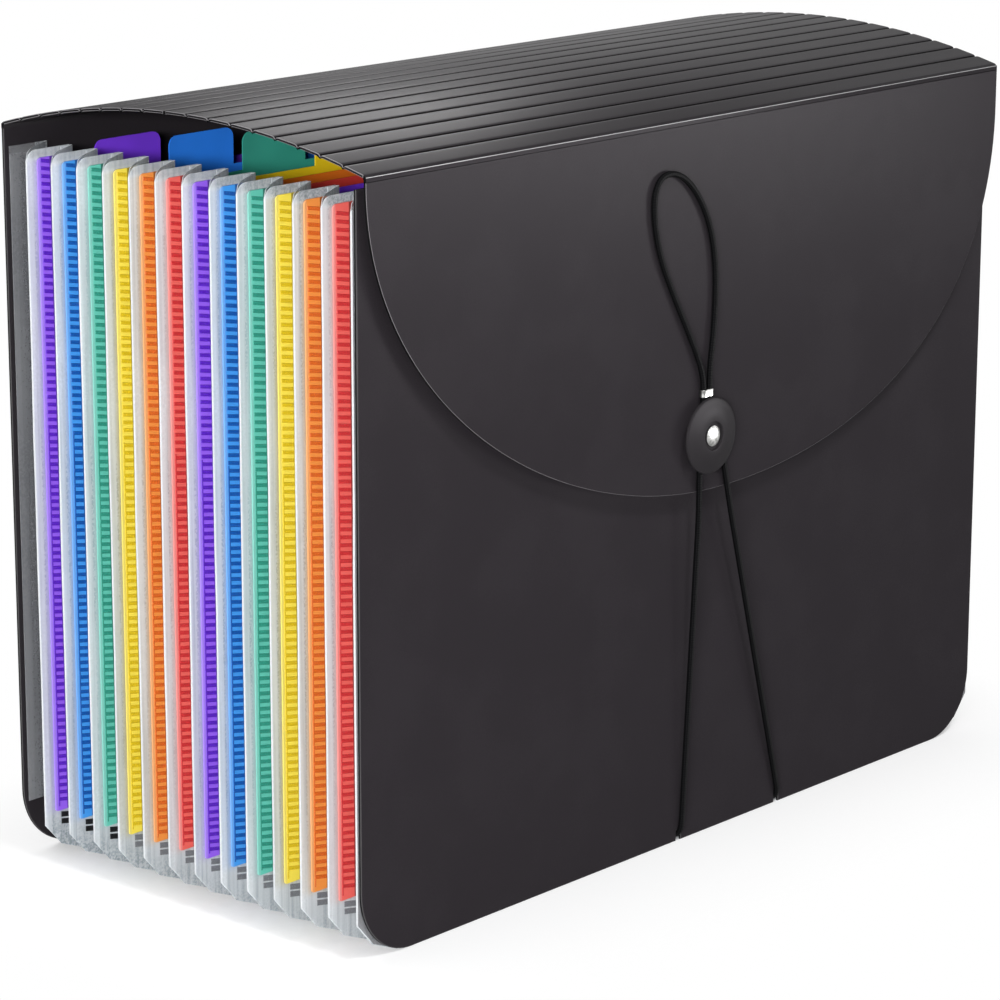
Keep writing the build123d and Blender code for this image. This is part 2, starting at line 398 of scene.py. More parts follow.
@dataclass(frozen=True)
class FilmFinish(Finish):
    """Frosted translucent film that takes up the colour of the sheet it is welded to."""

    name: str
    colour: Colour
    shade: Colour
    tint: Colour
    opacity: float
    bright: Colour = (0.5, 0.51, 0.53, 1.0)
    wash: float = 0.25
    stain: float = 0.7
    tint_start: float = 163.3
    tint_end: float = 161.7
    tint_bottom: float = 17.0
    tint_top: float = 238.0
    ridge: float = 165.5
    ridge_cover: float = 0.6
    ridge_opacity: float = 0.2
    inner_speckle: float = 163.2
    speckle: float = 0.8
    speckle_depth: float = 0.05
    streak: float = 1.6
    streak_share: float = 0.5
    wear: float = 60.0
    bottom_shade_share: float = 0.12
    clear_share: float = 0.2

    def add_nodes(self, shader: Shader) -> None:
        """Add the finish's own nodes.

        Args:
            shader: Shader on the material's tree.
        """
        place = shader.place()
        across, _, up = shader.axes(place)
        speckle = shader.noise(place, self.speckle, 3.0)
        streaks = shader.noise(shader.stretch(place, (1.0, 1.0, 0.02)), self.streak)
        worn = shader.noise(shader.stretch(place, (0.2, 0.2, 1.0)), self.wear, 1.0)
        # Speckle of the film, greyer towards the inner side: the speckle is the film's own, and the
        # extra grey inwards is painted shade.
        inner = 1 - abs(across).ramp(self.inner_speckle - 0.4, self.inner_speckle + 0.4)
        inner_speckle = speckle.ramp(0.38, 0.62) * (0.2 + 0.6 * inner) * worn.ramp(0.25, 0.6)
        bottom, top = self.tint_bottom, self.tint_top
        level = up.ramp(bottom - 2, bottom + 2) * (1 - up.ramp(top - 1, top + 1))
        # The film is painted greyer towards the bottom: painted shade.
        bottom_shade = (1 - up.ramp(bottom - 9, bottom + 3)) * self.bottom_shade_share
        greyed = inner_speckle + bottom_shade + streaks.ramp(0.35, 0.8) * self.streak_share
        frost = shader.mix(greyed, self.colour, self.shade)
        frost = shader.mix(level * self.wash, frost, self.tint)
        near = (1 - abs(across).ramp(self.tint_end, self.tint_start)) * level
        folded = abs(across).ramp(self.ridge - 0.2, self.ridge)
        clear = up.ramp(top, top + 2)
        stained = shader.mix(near * self.stain, frost, self.tint)
        cover = speckle * 0.3 + (self.opacity - 0.15)
        cover = cover + folded * self.ridge_opacity - clear * self.clear_share
        shader.surface(
            {
                "Base Color": shader.mix(folded * self.ridge_cover, stained, self.bright),
                "Roughness": speckle * 0.2 + 0.45,
                "Alpha": cover,
                "Specular IOR Level": 0.2,
                "Normal": shader.bump(speckle, self.speckle_depth),
            }
        )


@dataclass(frozen=True)
class MetalFinish(Finish):
    """Nickelled metal with fine turning marks."""

    name: str
    colour: Colour
    roughness: float = 0.2
    stain: float = 1.2
    stain_share: float = 0.5
    mark: float = 0.5
    mark_depth: float = 0.008

    def add_nodes(self, shader: Shader) -> None:
        """Add the finish's own nodes.

        Args:
            shader: Shader on the material's tree.
        """
        place = shader.place()
        marks = shader.noise(shader.stretch(place, (1.0, 6.0, 1.0)), self.mark, 3.0)
        stain = shader.noise(place, self.stain)
        dull = dim(self.colour, self.stain_share)
        shader.surface(
            {
                "Base Color": shader.mix(stain.ramp(0.4, 0.65), self.colour, dull),
                "Metallic": 1.0,
                "Roughness": marks * 0.15 + self.roughness,
                "Normal": shader.bump(marks, self.mark_depth),
            }
        )


@dataclass(frozen=True)
class BraidFinish(Finish):
    """Braided elastic: two sets of threads that cross round the cord."""

    name: str
    colour: Colour
    thread: Colour
    pitch: float = 1.7
    threads: int = 8
    thread_depth: float = 0.08
    fuzz: float = 0.2
    fuzz_share: float = 0.4

    def add_nodes(self, shader: Shader) -> None:
        """Add the finish's own nodes.

        Args:
            shader: Shader on the material's tree.
        """
        wrap = shader.node("ShaderNodeTexCoord", output="UV")
        along = shader.node("ShaderNodeSeparateXYZ", sockets={0: wrap}, output="X")
        round_it = shader.node("ShaderNodeSeparateXYZ", sockets={0: wrap}, output="Y")
        turn = round_it * (2 * math.pi * self.threads / 2)
        run = along * (2 * math.pi / (self.pitch * MM))
        weave = (turn + run).sine() * (turn - run).sine()
        fuzz = shader.noise(shader.place(), self.fuzz, 3.0)
        shader.surface(
            {
                "Base Color": shader.mix(weave.ramp(-0.2, 0.9), self.colour, self.thread),
                "Roughness": fuzz * 0.2 + 0.45,
                "Specular IOR Level": 0.03,
                "Normal": shader.bump(weave + fuzz * self.fuzz_share, self.thread_depth),
            }
        )


@dataclass(frozen=True)
class FloorFinish(Finish):
    """White paper that glows where the surroundings show, apart from the shadow near the folder."""

    name: str
    paper: Colour = (0.9, 0.9, 0.91, 1.0)
    speck: Colour = (0.94, 0.94, 0.94, 1.0)
    speck_size: float = 1.5
    shadow_share: float = 0.9
    shadow_reach: float = 70.0
    shadow_samples: int = 16

    def add_nodes(self, shader: Shader) -> None:
        """Add the finish's own nodes.

        Args:
            shader: Shader on the material's tree.
        """
        rays, near = {"samples": self.shadow_samples}, {"Distance": self.shadow_reach * MM}
        open_sky = shader.node("ShaderNodeAmbientOcclusion", rays, near, "AO")
        specks = shader.noise(shader.place(), self.speck_size)
        colour = shader.mix(specks, self.paper, self.speck)
        matt = shader.node("ShaderNodeBsdfDiffuse", None, {"Color": colour})
        glow = shader.node("ShaderNodeEmission", None, {"Color": WHITE, "Strength": 1.0})
        share = shader.seen() * (1 - self.shadow_share * (1 - open_sky))
        mixed = shader.node("ShaderNodeMixShader", None, {0: share, 1: matt, 2: glow})
        shader.node("ShaderNodeOutputMaterial", None, {"Surface": mixed})


class Tint(Enum):
    """Divider colours in their order from the back."""

    # Each tint's third colour, for the weld bars, is deeper than the sheet: painted shade.
    PURPLE = (paint(122, 62, 226), paint(146, 94, 228), paint(84, 28, 176), paint(180, 172, 218))
    BLUE = (paint(44, 128, 238), paint(66, 150, 226), paint(8, 80, 156), paint(160, 184, 220))
    GREEN = (paint(56, 156, 138), paint(98, 192, 172), paint(44, 138, 118), paint(170, 198, 198))
    YELLOW = (paint(236, 204, 30), paint(240, 218, 80), paint(206, 176, 22), paint(190, 182, 138))
    ORANGE = (paint(228, 116, 32), paint(234, 144, 66), paint(204, 96, 28), paint(206, 184, 152))
    RED = (paint(220, 66, 58), paint(230, 100, 92), paint(190, 46, 48), paint(214, 186, 182))

    def __init__(self, sheet: Colour, margin: Colour, weld: Colour, glow: Colour) -> None:
        """Name the four colours.

        Args:
            sheet: Colour of the sheet.
            margin: Colour of its margins, which the frosting of the film makes paler.
            weld: Colour of its weld bars, deeper than the sheet as painted shade.
            glow: Tint that it gives the film beside it.
        """
        self.sheet = sheet
        self.margin = margin
        self.weld = weld
        self.glow = glow

    @property
    def slot(self) -> str:
        """Name of its material slot."""
        return "divider_" + self.name.lower()

    @classmethod
    def at(cls, number: int) -> "Tint":
        """Colour of a divider, counted from 1 at the back."""
        order = list(cls)
        return order[(number - 1) % len(order)]


class Draft:
    """Points, faces and finish numbers of one piece, in millimetres, while it is drawn."""

    def __init__(self) -> None:
        """Start empty."""
        self.points: list[Vector] = []
        self.faces: list[list[int]] = []
        self.marks: list[int] = []

    def ring(self, points: Sequence[Sequence[float]]) -> list[int]:
        """Add points.

        Args:
            points: Points in order.

        Returns:
            Their numbers.
        """
        start = len(self.points)
        self.points.extend(Vector(point) for point in points)
        return list(range(start, len(self.points)))

    def face(self, corners: Sequence[int], mark: int = 0) -> None:
        """Add one face."""
        self.faces.append(list(corners))
        self.marks.append(mark)

    def bridge(
        self,
        first: list[int],
        second: list[int],
        mark: int | Sequence[int] = 0,
        closed: bool = True,
    ) -> None:
        """Join two rings of the same length with quads.

        Args:
            first: Points of one ring.
            second: Points of the other ring.
            mark: Finish number, or one for each quad.
            closed: Whether the rings' last points are joined to their first.
        """
        count = len(first)
        for i in range(count if closed else count - 1):
            j = (i + 1) % count
            number = mark if isinstance(mark, int) else mark[i]
            self.face((first[i], first[j], second[j], second[i]), number)

    def loop(self, rings: list[list[int]]) -> None:
        """Join rings in order, and the last one to the first."""
        for one, two in zip(rings, rings[1:] + rings[:1]):
            self.bridge(one, two)

    def slab(
        self,
        outline: Sequence[Point],
        ends: tuple[float, float],
        rim: float,
        place: Callable[[float, float, float], Sequence[float]],
        marks: tuple[int, int] = (0, 1),
        support: float = 0.0,
        steps: int = 3,
        side_marks: Sequence[int] | None = None,
        rim_marks: Sequence[int] | None = None,
    ) -> None:
        """Draw a closed outline as a slab with rounded rims.

        Args:
            outline: Corner points, in order.
            ends: Depth of the two flat faces.
            rim: Radius of the rounded rims.
            place: Turns two outline coordinates and a depth into a point.
            marks: Finish numbers of the flat faces, and of the rims and sides.
            support: Inset of one more ring on each face, which keeps its shading flat.
            steps: Facets of each rounded rim.
            side_marks: Finish numbers of the sides, one for each edge of the outline.
            rim_marks: Finish numbers of the second face's rim, one for each edge of the outline.
        """
        first, last = ends
        towards = 1 if last > first else -1
        low = []
        for i in range(steps + 1):
            angle = math.pi / 2 * i / steps
            depth = first + towards * rim * (1 - math.cos(angle))
            low.append((rim * (1 - math.sin(angle)), depth))
        high = [(inset, first + last - depth) for inset, depth in reversed(low)]
        stations = low + high
        bands: list[int | Sequence[int]] = [marks[1]] * (steps + 1)
        bands += [rim_marks or marks[1]] * steps
        if side_marks:
            bands[steps] = side_marks
        if support:
            stations = [(rim + support, first)] + stations + [(rim + support, last)]
            bands = [marks[0]] + bands + [marks[0]]
        rings = []
        for inset, depth in stations:
            rings.append(self.ring([place(u, v, depth) for u, v in inset_outline(outline, inset)]))
        for one, two, mark in zip(rings, rings[1:], bands):
            self.bridge(one, two, mark)
        self.face(list(reversed(rings[0])), marks[0])
        self.face(rings[-1], marks[0])

    def relief(
        self, foot: Sequence[Point], face: float, rise: float, chamfer: float, mark: int
    ) -> None:
        """Draw a bar with sloping sides, which stands out towards -Y.

        Args:
            foot: Outline of its foot in X and Z.
            face: Depth of the surface that it stands on.
            rise: Height over that surface.
            chamfer: Inset of its top.
            mark: Finish number.
        """
        top = inset_outline(foot, chamfer)
        base = self.ring([(x, face, z) for x, z in foot])
        crown = self.ring([(x, face - rise, z) for x, z in top])
        self.bridge(base, crown, mark)
        self.face(list(reversed(base)), mark)
        self.face(crown, mark)

    def lathe(self, profile: Sequence[Point], centre: Sequence[float], steps: int) -> None:
        """Turn a closed profile about an axis that points to -Y.

        Args:
            profile: Points of radius and height.
            centre: Point on the axis.
            steps: Number of facets.
        """
        x, y, z = centre
        rings = []
        for i in range(steps):
            angle = 2 * math.pi * i / steps
            cos, sin = math.cos(angle), math.sin(angle)
            rings.append(self.ring([(x + r * cos, y - h, z + r * sin) for r, h in profile]))
        self.loop(rings)

    def piece(
        self, name: str, finishes: Sequence[bpy.types.Material], crease: float = 38.0
    ) -> bpy.types.Object:
        """Make the Blender object.

        Args:
            name: Name of the piece.
            finishes: Materials, in the order of the finish numbers.
            crease: Angle in degrees from which an edge stays sharp.

        Returns:
            The object, in metres and in place.
        """
        mesh = bpy.data.meshes.new(name)
        mesh.from_pydata([point * MM for point in self.points], [], self.faces)
        mesh.polygons.foreach_set("material_index", self.marks)
        for finish in finishes:
            mesh.materials.append(finish)
        shape = bmesh.new()
        shape.from_mesh(mesh)
        bmesh.ops.remove_doubles(shape, verts=shape.verts, dist=MERGE_DISTANCE)
        bmesh.ops.recalc_face_normals(shape, faces=shape.faces)
        shape.to_mesh(mesh)
        shape.free()
        mesh.polygons.foreach_set("use_smooth", [True] * len(mesh.polygons))
        mesh.set_sharp_from_angle(angle=math.radians(crease))
        made = bpy.data.objects.new(name, mesh)
        bpy.context.scene.collection.objects.link(made)
        return made


def inset_outline(outline: Sequence[Point], inset: float) -> list[Point]:
    """Move a closed outline inwards with mitred corners.

    Args:
        outline: Corner points in order, either way round.
        inset: Distance to move.

    Returns:
        The moved points.
    """
    edges = list(zip(outline, [*outline[1:], outline[0]]))
    area = sum(u0 * v1 - u1 * v0 for (u0, v0), (u1, v1) in edges)
    side = 1 if area > 0 else -1
    normals = []
    for (u0, v0), (u1, v1) in edges:
        length = math.hypot(u1 - u0, v1 - v0)
        normals.append((-side * (v1 - v0) / length, side * (u1 - u0) / length))
    moved = []
    for i, (u, v) in enumerate(outline):
        before, after = normals[i - 1], normals[i]
        scale = inset / max(MITRE_LIMIT, 1 + before[0] * after[0] + before[1] * after[1])
        moved.append((u + scale * (before[0] + after[0]), v + scale * (before[1] + after[1])))
    return moved


def arc(centre: Point, radius: float, start: float, end: float, steps: int) -> list[Point]:
    """Points on an arc, with angles in degrees."""
    angles = [math.radians(start + (end - start) * i / steps) for i in range(steps + 1)]
    return [(centre[0] + radius * math.cos(a), centre[1] + radius * math.sin(a)) for a in angles]


def upright(u: float, v: float, depth: float) -> tuple[float, float, float]:
    """Point of an outline in X and Z, at a depth along Y."""
    return (u, depth, v)


def lengthwise(u: float, v: float, depth: float) -> tuple[float, float, float]:
    """Point of a cross-section in Y and Z, at a place along X."""
    return (depth, u, v)


def bezier(start: Point, one: Point, two: Point, end: Point, steps: int) -> list[Point]:
    """Points on a cubic curve, without its last one.

    Args:
        start: Where the curve starts.
        one: First handle.
        two: Second handle.
        end: Where the curve ends.
        steps: Number of points.

    Returns:
        Points in order.
    """
    points = []
    for i in range(steps):
        t = i / steps
        s = 1 - t
        shares = (s**3, 3 * s * s * t, 3 * s * t * t, t**3)
        corners = (start, one, two, end)
        points.append(tuple(sum(w * c[axis] for w, c in zip(shares, corners)) for axis in (0, 1)))
    return points


def dress(
    piece: bpy.types.Object, body: str, slot: str, nodes: Sequence[str] = ()
) -> bpy.types.Object:
    """Let a piece ride on a body in place of CAD nodes.

    Args:
        piece: Drawn piece.
        body: Body that it rides on.
        slot: Material slot, which is only logged.
        nodes: CAD nodes that it stands for.

    Returns:
        The same piece.
    """
    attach(piece, body)
    if nodes:
        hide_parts(*nodes)
    log.info("%s rides on %s, slot %s, stands for %d nodes", piece.name, body, slot, len(nodes))
    return piece


@dataclass
class Covers:
    """Back cover, front cover and flap: cut sheets with a slightly rounded rim, which is painted
    lighter on the front face as a painted highlight.
    """

    sheet: bpy.types.Material
    edge: bpy.types.Material
    cover_rim_highlight: bpy.types.Material
    flap_rim_highlight: bpy.types.Material
    corner: float = 23.0
    corner_steps: int = 20
    rim: float = 0.3
    fine_rim: float = 0.15
    support: float = 0.4
    notch_width: float = 2.5
    notch_depth: float = 3.8
    notches: tuple[float, float] = CORD_NOTCHES
    flap_tip: Point = (7.0, 122.9)
    flap_left: tuple[float, float, float] = (247.0, 74.0, 78.0)
    flap_right: tuple[float, float, float] = (234.3, 67.0, 97.0)
    flap_steps: int = 48

    def cover_outline(self, half: float, top: float, notches: Sequence[float]) -> list[Point]:
        """Outline of a cover with two rounded lower corners, and notches in its lower edge.

        Args:
            half: Half its width.
            top: Height of its top edge.
            notches: Middles of the notches.

        Returns:
            Points in X and Z.
        """
        inner = half - self.corner
        reach = self.notch_width / 2
        bottom = []
        for x in sorted(notches):
            bottom += [(x - reach, 0.0), (x - reach, self.notch_depth)]
            bottom += [(x + reach, self.notch_depth), (x + reach, 0.0)]
        left = arc((-inner, self.corner), self.corner, 180, 270, self.corner_steps)
        right = arc((inner, self.corner), self.corner, 270, 360, self.corner_steps)
        return left + bottom + right + [(half, top), (-half, top)]

    def flap_outline(self, half: float, top: float) -> list[Point]:
        """Outline of the flap: two curves that meet at its tip.

        Args:
            half: Half its width.
            top: Height of its top edge.

        Returns:
            Points in X and Z.
        """
        tip = self.flap_tip
        height, reach, sweep = self.flap_left
        start, handle = (-half, height), (-half, height - reach)
        left = bezier(start, handle, (tip[0] - sweep, tip[1]), tip, self.flap_steps)
        height, reach, sweep = self.flap_right
        end, handle = (half, height), (half, height - reach)
        right = bezier(tip, (tip[0] + sweep, tip[1]), handle, end, self.flap_steps)
        return left + right + [end, (half, top), (-half, top)]

    def sheet_piece(
        self,
        name: str,
        node: str,
        outline: list[Point],
        body: str,
        rim: bpy.types.Material,
        width: float,
    ) -> None:
        """Draw one sheet at the depth of its node.

        Args:
            name: Name of the piece.
            node: CAD node that it stands for.
            outline: Its outline in X and Z.
            body: Body that it rides on.
            rim: Finish of the front face's rim, painted lighter as a painted highlight, which the
                top edge doesn't have.
            width: Radius of the rims.
        """
        low, high = node_box(node)
        draft = Draft()
        edges = zip(outline, outline[1:] + outline[:1])
        # The front face's rim, apart from the top edge, takes the lighter rim finish: painted
        # highlight.
        rims = [0 if one[1] == two[1] == high.z else 2 for one, two in edges]
        # Sides and the back face's rim take the edge finish, painted near black: painted shade.
        draft.slab(
            outline, (high.y, low.y), width, upright, (0, 1), self.support,
            side_marks=[1] * len(outline), rim_marks=rims,
        )
        dress(draft.piece(name, [self.sheet, self.edge, rim]), body, "black_sheet", [node])

    def build(self) -> None:
        """Draw the three sheets."""
        _, back = node_box("back_cover")
        _, front = node_box("front_cover")
        _, flap = node_box("flap")
        outline = self.cover_outline(back.x, back.z, ())
        self.sheet_piece("back_sheet", "back_cover", outline, "back", self.cover_rim_highlight, self.rim)
        outline = self.cover_outline(front.x, front.z, self.notches)
        self.sheet_piece("front_sheet", "front_cover", outline, "front", self.cover_rim_highlight, self.rim)
        outline = self.flap_outline(flap.x, flap.z)
        self.sheet_piece("flap_sheet", "flap", outline, "flap", self.flap_rim_highlight, self.fine_rim)


@dataclass
class Lid:
    """Scored lid, bowed over the pockets, in two halves that turn on the middle score line."""

    sheet: bpy.types.Material
    edge: bpy.types.Material
    score_shade: bpy.types.Material
    crease_highlight: bpy.types.Material
    end_rim_highlight: bpy.types.Material
    cover: bpy.types.Material
    hinge_height: float = 249.0
    rise: float = 11.2
    strips: int = 17
    rear_strips: int = 8
    bow: float = 0.5
    flatness: int = 8
    thickness: float = 1.0
    groove_width: float = 1.0
    groove_depth: float = 0.5
    rim: float = 0.25
    fold_rim: float = 0.1
    fold_reach: float = 1.2
    fold_steps: int = 8
    crease: float = 0.14
    crease_steps: int = 6
    lap: float = 0.35
    shares: tuple[float, ...] = (0.0, 0.03, 0.07, 0.12, 0.15, 0.85, 0.88, 0.93, 0.97, 1.0)

    def __post_init__(self) -> None:
        """Work out the arch from the two sheets that it joins."""
        self.y_back = node_box("back_cover")[1].y
        self.y_front = node_box("flap")[0].y
        half = node_box("back_cover")[1].x
        self.span = (-half, half)
        chord = self.y_back - self.y_front
        self.radius = (chord**2 / 4 + self.rise**2) / (2 * self.rise)
        self.half_angle = math.asin(chord / 2 / self.radius)

    def score(self, index: int) -> Vector:
        """Find a score line on the arch.

        Args:
            index: Number of the line, counted from 0 at the back.

        Returns:
            Its Y and Z.
        """
        angle = self.half_angle * (1 - 2 * index / self.strips)
        middle = (self.y_back + self.y_front) / 2
        centre = self.hinge_height + self.rise - self.radius
        y = middle + self.radius * math.sin(angle)
        return Vector((y, centre + self.radius * math.cos(angle)))

    def strip_points(
        self, index: int, start_gap: float, end_gap: float, depth: float
    ) -> list[Point]:
        """Find points across one bowed strip.

        Args:
            index: Number of the strip, counted from 0 at the back.
            start_gap: Distance of the first point from the strip's rear score line.
            end_gap: Distance of the last point from its front score line.
            depth: Depth below the outer face.

        Returns:
            Points in Y and Z, from the back.
        """
        rear, front = self.score(index), self.score(index + 1)
        along = (front - rear).normalized()
        outward = Vector((along.y, -along.x))
        width = (front - rear).length
        points = []
        for share in self.shares:
            run = start_gap + (width - start_gap - end_gap) * share
            height = self.bulge(run, width) - depth
            points.append(tuple(rear + along * run + outward * height))
        return points

    def bulge(self, run: float, width: float) -> float:
        """Height of a strip's face over its chord: nearly flat, and round at the score lines."""
        return self.bow * (1 - (2 * run / width - 1) ** self.flatness)

    def half_outline(self, first: int, last: int) -> tuple[list[Point], list[int]]:
        """Draw the cross-section of one half.

        Args:
            first: Score line that it starts at.
            last: Score line that it ends at.

        Returns:
            Points in Y and Z, and a finish number for each edge.
        """
        top: list[Point] = []
        under: list[Point] = []
        marks: list[int] = []
        half_groove = self.groove_width / 2
        for index in range(first, last):
            start_gap = self.fold_reach if index == 0 else half_groove
            end_gap = self.fold_reach if index + 1 == self.strips else half_groove
            top += self.strip_points(index, start_gap, end_gap, 0.0)
            under += self.strip_points(index, start_gap, end_gap, self.thickness)
            marks += [0] * (len(self.shares) - 1)
            if index + 1 < last:
                # Each score line is a groove, painted near black as painted shade.
                top.append(tuple(self.score(index + 1) - Vector((0.0, self.groove_depth))))
                marks += [2, 2]
        outline = top + list(reversed(under))
        return outline, marks + [0] * (len(outline) - len(marks))

    def half_piece(self, name: str, first: int, last: int, body: str) -> None:
        """Draw one half of the lid.

        Args:
            name: Name of the piece.
            first: Score line that it starts at.
            last: Score line that it ends at.
            body: Body that it rides on.
        """
        draft = Draft()
        outline, marks = self.half_outline(first, last)
        # The lid's end rims, mark 3, are painted lighter: painted highlight.
        draft.slab(outline, self.span, self.rim, lengthwise, (1, 3), 0.0, 2, marks)
        nodes = [f"lid_strip_{number:02d}" for number in range(first + 1, last + 1)]
        # The lid's end faces take the edge finish, painted near black: painted shade.
        finishes = [self.sheet, self.edge, self.score_shade, self.end_rim_highlight]
        dress(draft.piece(name, finishes, crease=25.0), body, "black_sheet", nodes)

    def bend(
        self, made: bpy.types.Object, bodies: tuple[str, str], ends: tuple[Sequence[float], ...]
    ) -> None:
        """Bake a piece's place into its mesh, and log the two bodies that it lies between.

        Args:
            made: Drawn piece.
            bodies: Bodies that it joins.
            ends: Points in Y and Z where it meets them.
        """
        start, stop = (Vector((0.0, *point)) * MM for point in ends)
        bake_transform(made)
        log.info("%s bends between %s and %s", made.name, *bodies)

    def fold_piece(self, name: str, index: int, bodies: tuple[str, str]) -> None:
        """Draw the living hinge between the lid and a cover.

        Args:
            name: Name of the piece.
            index: Score line that it lies on, the first or the last.
            bodies: The cover's body and the lid's.
        """
        corner = self.score(index)
        towards = -1 if index == 0 else 1
        neighbour = self.score(index + 1 if index == 0 else index - 1)
        slope = (neighbour - corner).normalized()
        outward = Vector((slope.y, -slope.x)) * (1 if index == 0 else -1)
        foot = node_box("back_cover" if index == 0 else "flap")[1].z - self.lap
        width = (neighbour - corner).length
        end = corner + slope * self.fold_reach + outward * self.bulge(self.fold_reach, width)
        below = (corner.x, corner.y - self.crease)
        above = corner + (end - corner) * (self.crease / self.fold_reach)
        rounding = bezier(below, tuple(corner), tuple(corner), tuple(above), self.crease_steps)
        flat_top = (corner.x, corner.y - 2 * self.crease)
        outer = [(corner.x, foot), flat_top, *rounding, tuple(above), tuple(end)]
        within = Vector((towards * self.thickness, 0.0))
        inner_corner = tuple(corner + within - Vector((0.0, self.thickness)))
        inner_end = tuple(end - outward * self.thickness)
        inner_foot = (corner.x + within.x, foot)
        inner = bezier(inner_foot, inner_corner, inner_corner, inner_end, self.fold_steps)
        outline = outer + [inner_end] + list(reversed(inner))
        # Mark 2, the rounding at the crease, is painted pale: painted highlight.
        marks = [3, 3] + [2] * len(rounding) + [0] * (len(outline) - 2 - len(rounding))
        draft = Draft()
        draft.slab(outline, self.span, self.fold_rim, lengthwise, (1, 1), 0.0, 2, marks)
        made = draft.piece(name, [self.sheet, self.edge, self.crease_highlight, self.cover], crease=50.0)
        self.bend(made, bodies, ((corner.x, foot), end))

    def web_piece(self, name: str, index: int, bodies: tuple[str, str]) -> None:
        """Draw the thin sheet left at the bottom of the score line between the two halves.

        Args:
            name: Name of the piece.
            index: Score line that it lies on.
            bodies: Bodies of the two halves.
        """
        gap = self.groove_width / 2
        depths = (0.0, self.thickness)
        rear = [self.strip_points(index - 1, gap, gap, depth)[-1] for depth in depths]
        front = [self.strip_points(index, gap, gap, depth)[0] for depth in depths]
        bottom = tuple(self.score(index) - Vector((0.0, self.groove_depth)))
        outline = [rear[0], bottom, front[0], front[1], rear[1]]
        marks = [0] * len(outline)
        draft = Draft()
        draft.slab(outline, self.span, self.fold_rim, lengthwise, (1, 1), 0.0, 2, marks)
        # The web takes the score line's finish, near black: painted shade.
        made = draft.piece(name, [self.score_shade, self.edge], crease=25.0)
        self.bend(made, bodies, (rear[0], front[0]))

    def build(self) -> None:
        """Draw the two halves, the web between them and the folds at the covers."""
        self.half_piece("lid_sheet_rear", 0, self.rear_strips, "lid_rear")
        self.half_piece("lid_sheet_front", self.rear_strips, self.strips, "lid_front")
        self.web_piece("lid_fold_middle", self.rear_strips, ("lid_rear", "lid_front"))
        self.fold_piece("lid_fold_back", 0, ("back", "lid_rear"))
        self.fold_piece("lid_fold_front", self.strips, ("flap", "lid_front"))


@dataclass(frozen=True)
class Ladder:
    """Row of weld bars that joins a divider's margin to the film."""

    outer: float = 160.3
    inner: float = 156.4
    inner_step: float = 0.16
    pitch: float = 2.52
    bar: float = 1.3
    relief: float = 0.12
    chamfer: float = 0.1
    slope: float = 0.18
    phase: float = 2.17
    drift: float = 0.165
    spine: float = 0.6
    spine_top: float = 150.0
    spine_share: float = 0.7

    def heights(self, number: int, low: float, high: float) -> list[float]:
        """Space the bars of one divider.

        Args:
            number: Number of the divider, which shifts the bars.
            low: Height from which bars are drawn.
            high: Height to which they are drawn.

        Returns:
            Lower edges of the bars.
        """
        offset = self.phase - self.drift * (number - 1) + (self.pitch - self.bar) / 2
        first = math.ceil((low - offset) / self.pitch)
        last = math.floor((high - self.bar - offset) / self.pitch)
        return [offset + self.pitch * i for i in range(first, last + 1)]

    def inner_at(self, number: int) -> float:
        """Inner end of one divider's bars."""
        return self.inner - self.inner_step * (number - 1)

    def rung(self, draft: Draft, ends: Point, face: float, z: float, mark: int) -> None:
        """Draw one bar, which falls a little towards the middle.

        Args:
            draft: Piece to draw in.
            ends: Its outer and its inner end.
            face: Depth of the surface that it stands on.
            z: Height of its lower edge at the outer end.
            mark: Finish number.
        """
        outer, inner = ends
        top, fall = z + self.bar, self.slope * abs(outer - inner)
        foot = [(outer, z), (inner, z - fall), (inner, top - fall), (outer, top)]
        draft.relief(foot, face, self.relief, self.chamfer, mark)

    def draw(
        self, draft: Draft, number: int, face: float, low: float, high: float, mark: int
    ) -> None:
        """Draw the bars of both sides.

        Args:
            draft: Piece to draw in.
            number: Number of the divider, which shifts the bars.
            face: Depth of the surface that they stand on.
            low: Height from which bars are drawn.
            high: Height to which they are drawn.
            mark: Finish number.
        """
        for side in (-1, 1):
            ends = (side * self.outer, side * self.inner_at(number))
            for z in self.heights(number, low, high):
                self.rung(draft, ends, face, z, mark)

    def draw_spine(self, draft: Draft, face: float, low: float, mark: int) -> None:
        """Draw the thin ribs that join the lower bars, one at each side.

        Args:
            draft: Piece to draw in.
            face: Depth of the surface that they stand on.
            low: Height at which they start.
            mark: Finish number.
        """
        top, rise = self.spine_top, self.spine_share * self.relief
        for side in (-1, 1):
            left, right = sorted((side * self.outer, side * (self.outer - self.spine)))
            foot = [(left, low), (right, low), (right, top), (left, top)]
            draft.relief(foot, face, rise, self.chamfer, mark)


@dataclass
class Dividers:
    """Twelve coloured dividers: CAD sheets with a finish, and their weld bars."""

    ladder: Ladder
    count: int = 12
    ear_drop: float = 3.0
    bar_start: float = 2.0
    spine_start: float = 1.5

    def build(self) -> None:
        """Finish the sheets and draw the bars."""
        welds = {tint: WeldFinish(tint.slot + "_weld", tint.weld).material() for tint in Tint}
        for number in range(1, self.count + 1):
            tint = Tint.at(number)
            seam, strip = self.ladder.inner_at(number), self.ladder.outer
            name = f"{tint.slot}_sheet_{number:02d}"
            sheet = DividerFinish(name, tint.sheet, tint.margin, tint.glow, seam, strip)
            node = f"divider_{number:02d}"
            low, high = node_box(node)
            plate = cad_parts[node]
            plate.data.materials.clear()
            plate.data.materials.append(sheet.material())
            draft = Draft()
            ear_top = high.z - self.ear_drop
            self.ladder.draw(draft, number, low.y, low.z + self.bar_start, ear_top, 0)
            self.ladder.draw_spine(draft, low.y, low.z + self.spine_start, 0)
            dress(draft.piece(f"weld_ladder_{number:02d}", [welds[tint]]), node, tint.slot)


